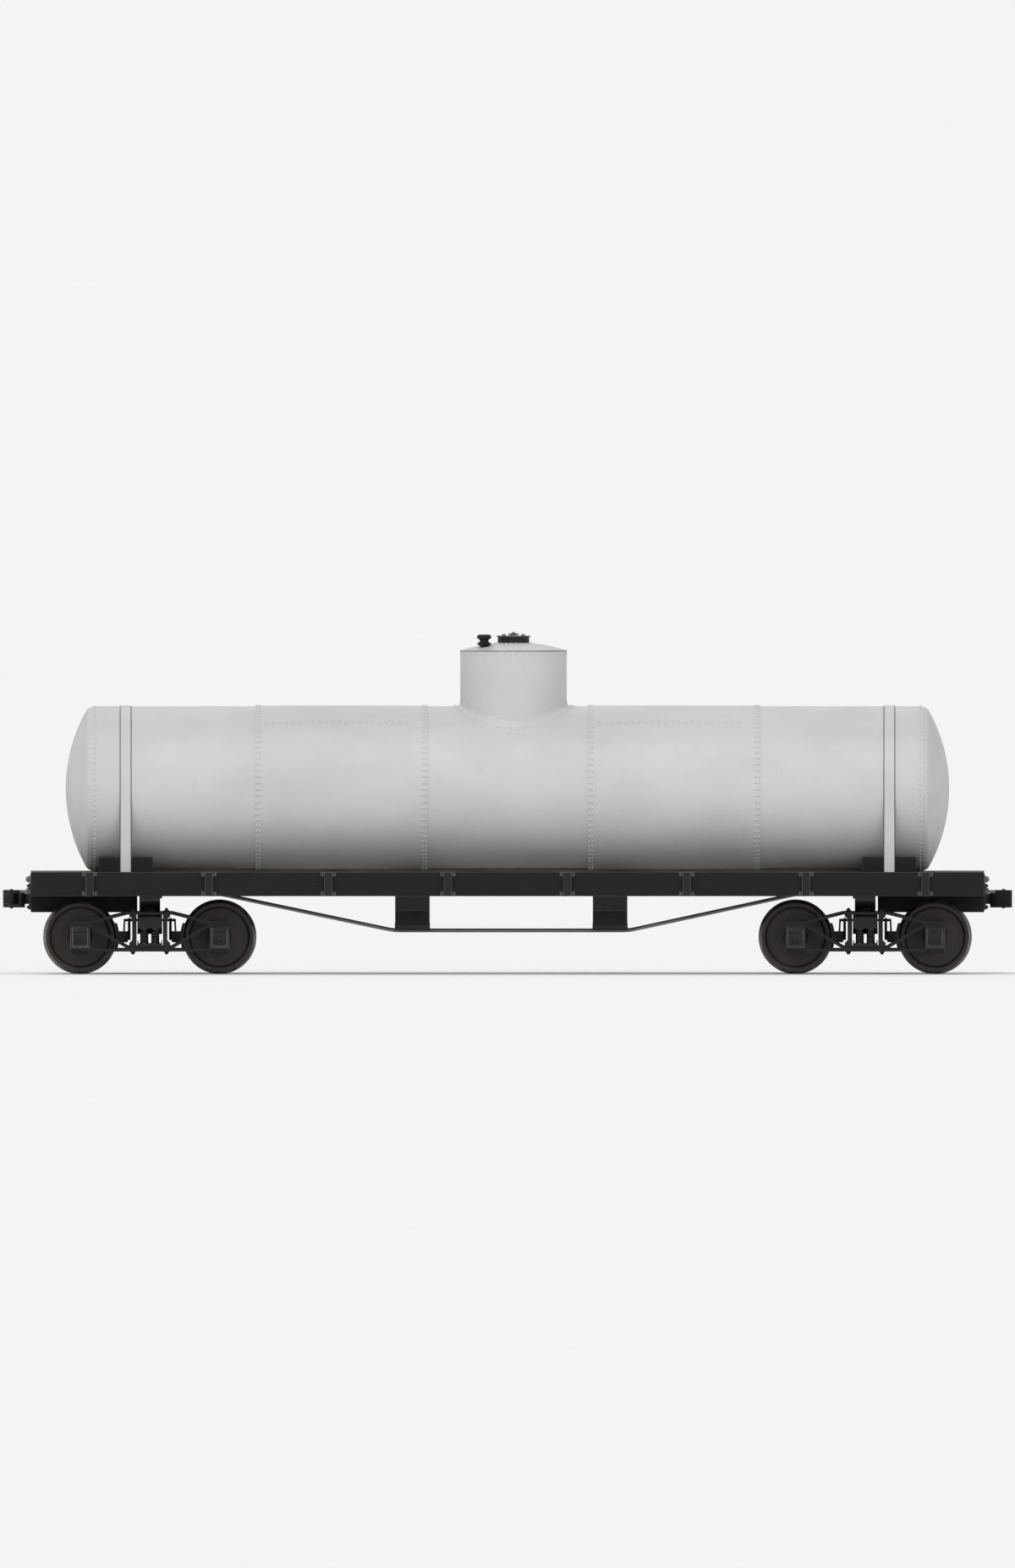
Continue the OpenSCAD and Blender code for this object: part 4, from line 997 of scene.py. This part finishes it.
def box_lid(bm, face):
    """Adds the lid of a journal box to its face: a dished plate with a boss, hung on a pin."""
    prism(bm, rounded(164 * MM, 150 * MM, 26 * MM), -2 * MM, 6 * MM, face)
    prism(bm, rounded(126 * MM, 112 * MM, 20 * MM), 6 * MM, 10 * MM, face)
    boss = [(0, 10), (34, 10), (30, 16), (16, 20), (0, 21)]
    turned(bm, [(r * MM, z * MM) for r, z in boss], face, 32, closed=False)
    pin_r, pin_up = 11 * MM, 84 * MM
    for shift, length in ((-52 * MM, 34 * MM), (0, 56 * MM), (52 * MM, 34 * MM)):
        knuckle = [(0, -length / 2), (pin_r, -length / 2), (pin_r, length / 2), (0, length / 2)]
        turned(bm, knuckle, face @ at(shift, pin_up, 0) @ facing(0, 1), 20, closed=False)


def build_truck(end):
    body = "truck_" + end
    x0 = ENDS[end] * TRUCK_X

    def name(part):
        return body + "_" + part

    eased(name("frames"), body, [IRON, RUBBED], 2.5 * MM, edge=1)
    eased(name("bolster"), body, [IRON], 5 * MM)
    eased(name("journal_boxes"), body, [IRON, RUBBED], 7 * MM, 3, edge=1)
    eased(name("brake_beams"), body, [IRON], 3 * MM)
    # Four coils in a square at each side
    lo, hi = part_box(name("springs"))
    spring_y, cap = JOURNAL_Y - 7 * MM, 6 * MM
    places = [
        ((x0 + dx, m * spring_y + dy, lo[2] + cap), (0, 0, 1))
        for m in (-1, 1) for dx in both_ways(66 * MM) for dy in both_ways(56 * MM)
    ]
    coils = studs(
        name("coils"), places, COILS, body, "black_iron", SPRING,
        Height=hi[2] - lo[2] - 2 * cap
    )
    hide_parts(name("springs"))
    bm = bmesh.new()
    for m in (-1, 1):
        for dx in both_ways(HALF_BASE):
            face = at(x0 + dx, m * (BOX_FACE_Y - 1 * MM), AXLE_Z - 22 * MM) @ facing(1, m)
            up = face.to_3x3().inverted() @ Vector((0, 0, 1))
            box_lid(bm, face @ Matrix.Rotation(-math.atan2(up.x, up.y), 4, "Z"))
    mesh = bevelled(name("box_lids"), from_bmesh(name("box_lids"), bm), 2 * MM)
    piece(name("box_lids"), mesh, body, [IRON])
    # Bolts of the arch bars, down through the columns and beside each journal box
    bar_on_box = BOX_TOP + 64 * MM
    large, small = [], []
    for m in (-1, 1):
        y = m * JOURNAL_Y
        for dx in both_ways(202 * MM):
            large.append(((x0 + dx, y, BAR_TOP), (0, 0, 1)))
            large.append(((x0 + dx, y, BAR_BOTTOM), (0, 0, -1)))
        for axle in both_ways(HALF_BASE):
            for dx in both_ways(86 * MM):
                small.append(((x0 + axle + dx, y, bar_on_box), (0, 0, 1)))
                small.append(((x0 + axle + dx, y, BAR_BOTTOM), (0, 0, -1)))
    studs(name("column_nuts"), large, NUTS, body, "black_iron", IRON, Radius=25 * MM)
    studs(name("box_nuts"), small, NUTS, body, "black_iron", IRON, Radius=19 * MM)


def wheel_profile():
    """Half section of a cast wheel: radius, then distance out from the back of the rim, and
    for each stretch 1 where the rail polishes it."""
    r = WHEEL_R
    hub = 130 * MM
    bore = 73.1 * MM
    points = [
        (bore, -30), (hub - 8 * MM, -30), (hub, -22), (hub + 5 * MM, 20), (hub + 20 * MM, 36),
        (hub + 0.3 * (r - hub), 46), (hub + 0.6 * (r - hub), 38), (r - 76 * MM, 27),
        (r - 58 * MM, 18), (r - 49 * MM, 8), (r - 46 * MM, 0), (r + 11 * MM, 0),
        (r + 19 * MM, 4), (r + 24 * MM, 10), (r + FLANGE_H, 15), (r + 23 * MM, 21),
        (r + 17 * MM, 27), (r + 9 * MM, 32), (r + 3 * MM, 38), (r, 46), (r - 5 * MM, 130),
        (r - 7 * MM, 136), (r - 12 * MM, 140), (r - 46 * MM, 140), (r - 53 * MM, 136),
        (r - 60 * MM, 122), (r - 66 * MM, 100), (r - 76 * MM, 84),
        (hub + 0.6 * (r - hub), 80), (hub + 0.3 * (r - hub), 90), (hub + 22 * MM, 101),
        (hub + 6 * MM, 118), (hub, 152), (hub - 6 * MM, 158), (bore, 158)
    ]
    finish = [1 if 11 <= i <= 20 else 0 for i in range(len(points))]
    return [(radius, height * MM) for radius, height in points], finish


def wheel_ribs(name, centre, back_y, sign):
    """A wheel's ribs, cast on the back of its plate: curved, and highest a third of the way out."""
    inner, outer, half_t, crest_share = 0.134, WHEEL_R - 58 * MM, 11 * MM, 0.55
    sweep, lean, steps = 0.55, 0.5, 8
    foot = back_y + sign * 44 * MM
    bm = bmesh.new()
    rows = []
    for k in range(steps + 1):
        t = k / steps
        r = inner + (outer - inner) * t
        a = sweep * t * t
        point = Vector((r * math.sin(a), 0, r * math.cos(a)))
        side = Vector((math.cos(a + lean * t), 0, -math.sin(a + lean * t)))
        tall = (30 - 34 * (t - 0.35) ** 2) * MM
        crest = back_y + sign * (38 * MM - tall)
        rows.append([
            bm.verts.new(point + side * half_t * w + Vector((0, y, 0)))
            for w, y in ((-1, foot), (-crest_share, crest), (crest_share, crest), (1, foot))
        ])
    for one, two in zip(rows, rows[1:]):
        for k in range(4):
            bm.faces.new((one[k], one[(k + 1) % 4], two[(k + 1) % 4], two[k]))
    bm.faces.new(rows[0])
    bm.faces.new(rows[-1])
    carrier = from_bmesh(name + "_rib", bm)
    return grown(name, carrier, RIBS, {"Count": 14, "Centre": centre, "Material": PLATE})


def build_wheelset(end, number):
    key = end + str(number)
    body = "wheelset_" + key
    axle = middle("axle_" + key)
    back = high("wheels_" + key)[1] - RIM_W - 18 * MM
    profile, finish = wheel_profile()
    bm = bmesh.new()
    for s in (-1, 1):
        turned(bm, profile, at(axle.x, s * back, AXLE_Z) @ facing(1, s), 120, finish=finish)
    piece(
        "wheels_cast_" + key, from_bmesh("wheels_cast_" + key, bm), body,
        [PLATE, TREAD], ["wheels_" + key]
    )
    for s, side in ((-1, "near"), (1, "far")):
        mesh = wheel_ribs(f"ribs_{key}_{side}", (axle.x, 0, AXLE_Z), s * back, s)
        piece(f"ribs_{key}_{side}", mesh, body, sharp=50)
    eased("axle_" + key, body, [PLATE], 2 * MM)


# ---------- Camera, light and floor ----------

def build_stage():
    scene = bpy.context.scene
    scene.view_settings.view_transform = "Standard"
    camera = bpy.data.cameras.new("camera")
    camera.type = "ORTHO"
    camera.ortho_scale = 18.85
    camera.clip_start = 1
    camera.clip_end = 4000
    holder = bpy.data.objects.new("camera", camera)
    bpy.context.collection.objects.link(holder)
    tilt, distance = math.radians(0.4), 1200
    target = Vector((0, 0, 2.28))
    holder.location = target + Vector((0, -math.cos(tilt), math.sin(tilt))) * distance
    holder.rotation_euler = (math.pi / 2 - tilt, 0, 0)
    scene.camera = holder

    mesh = bpy.data.meshes.new("floor")
    half = 2000
    corners = [(-half, -half, 0), (half, -half, 0), (half, half, 0), (-half, half, 0)]
    mesh.from_pydata(corners, [], [(0, 1, 2, 3)])
    f = Finish("pale_matt_floor_paint", IOR=1.4)
    clouds = f.pattern(2000 * MM, detail=2)
    colour = f.new("Mix", {0: clouds, 6: "#f7f7f6", 7: "#f3f3f2"}, **COLOUR)
    mesh.materials.append(f.finish(colour, 0.85))
    floor = bpy.data.objects.new("floor", mesh)
    bpy.context.collection.objects.link(floor)

    # A room whose walls are as pale as its floor, and whose ceiling is a little darker
    world = bpy.data.worlds.new("pale_room")
    scene.world = world
    world.use_nodes = True
    tree = world.node_tree
    tree.nodes.clear()
    way = add(tree, "ShaderNodeTexCoord").outputs["Generated"]
    height = add(tree, "ShaderNodeSeparateXYZ", {0: way}).outputs["Z"]
    glow = add(
        tree, "ShaderNodeMapRange", {0: height, 1: 0.0, 2: 0.3, 3: 0.94, 4: 0.6}, **SMOOTH
    ).outputs[0]
    light = add(tree, "ShaderNodeBackground", {"Color": "#ffffff", "Strength": glow})
    add(tree, "ShaderNodeOutputWorld", {"Surface": light.outputs[0]})
    for name, strength, angle, turn in (
        ("key", 1.15, 25, (38, 0, -24)), ("fill", 0.6, 50, (80, 0, 20)),
        ("back", 0.3, 40, (-50, 0, 10)),
    ):
        lamp = bpy.data.lights.new(name, "SUN")
        lamp.energy = strength
        lamp.angle = math.radians(angle)
        obj = bpy.data.objects.new(name, lamp)
        obj.rotation_euler = [math.radians(a) for a in turn]
        bpy.context.collection.objects.link(obj)


build_stage()
build_tank()
build_dome()
build_timbers()
build_stake_pockets()
build_truss()
build_post_shoes()
build_frame_nuts()
build_couplers()
build_underside()
for end in ENDS:
    build_truck(end)
    for number in (1, 2):
        build_wheelset(end, number)
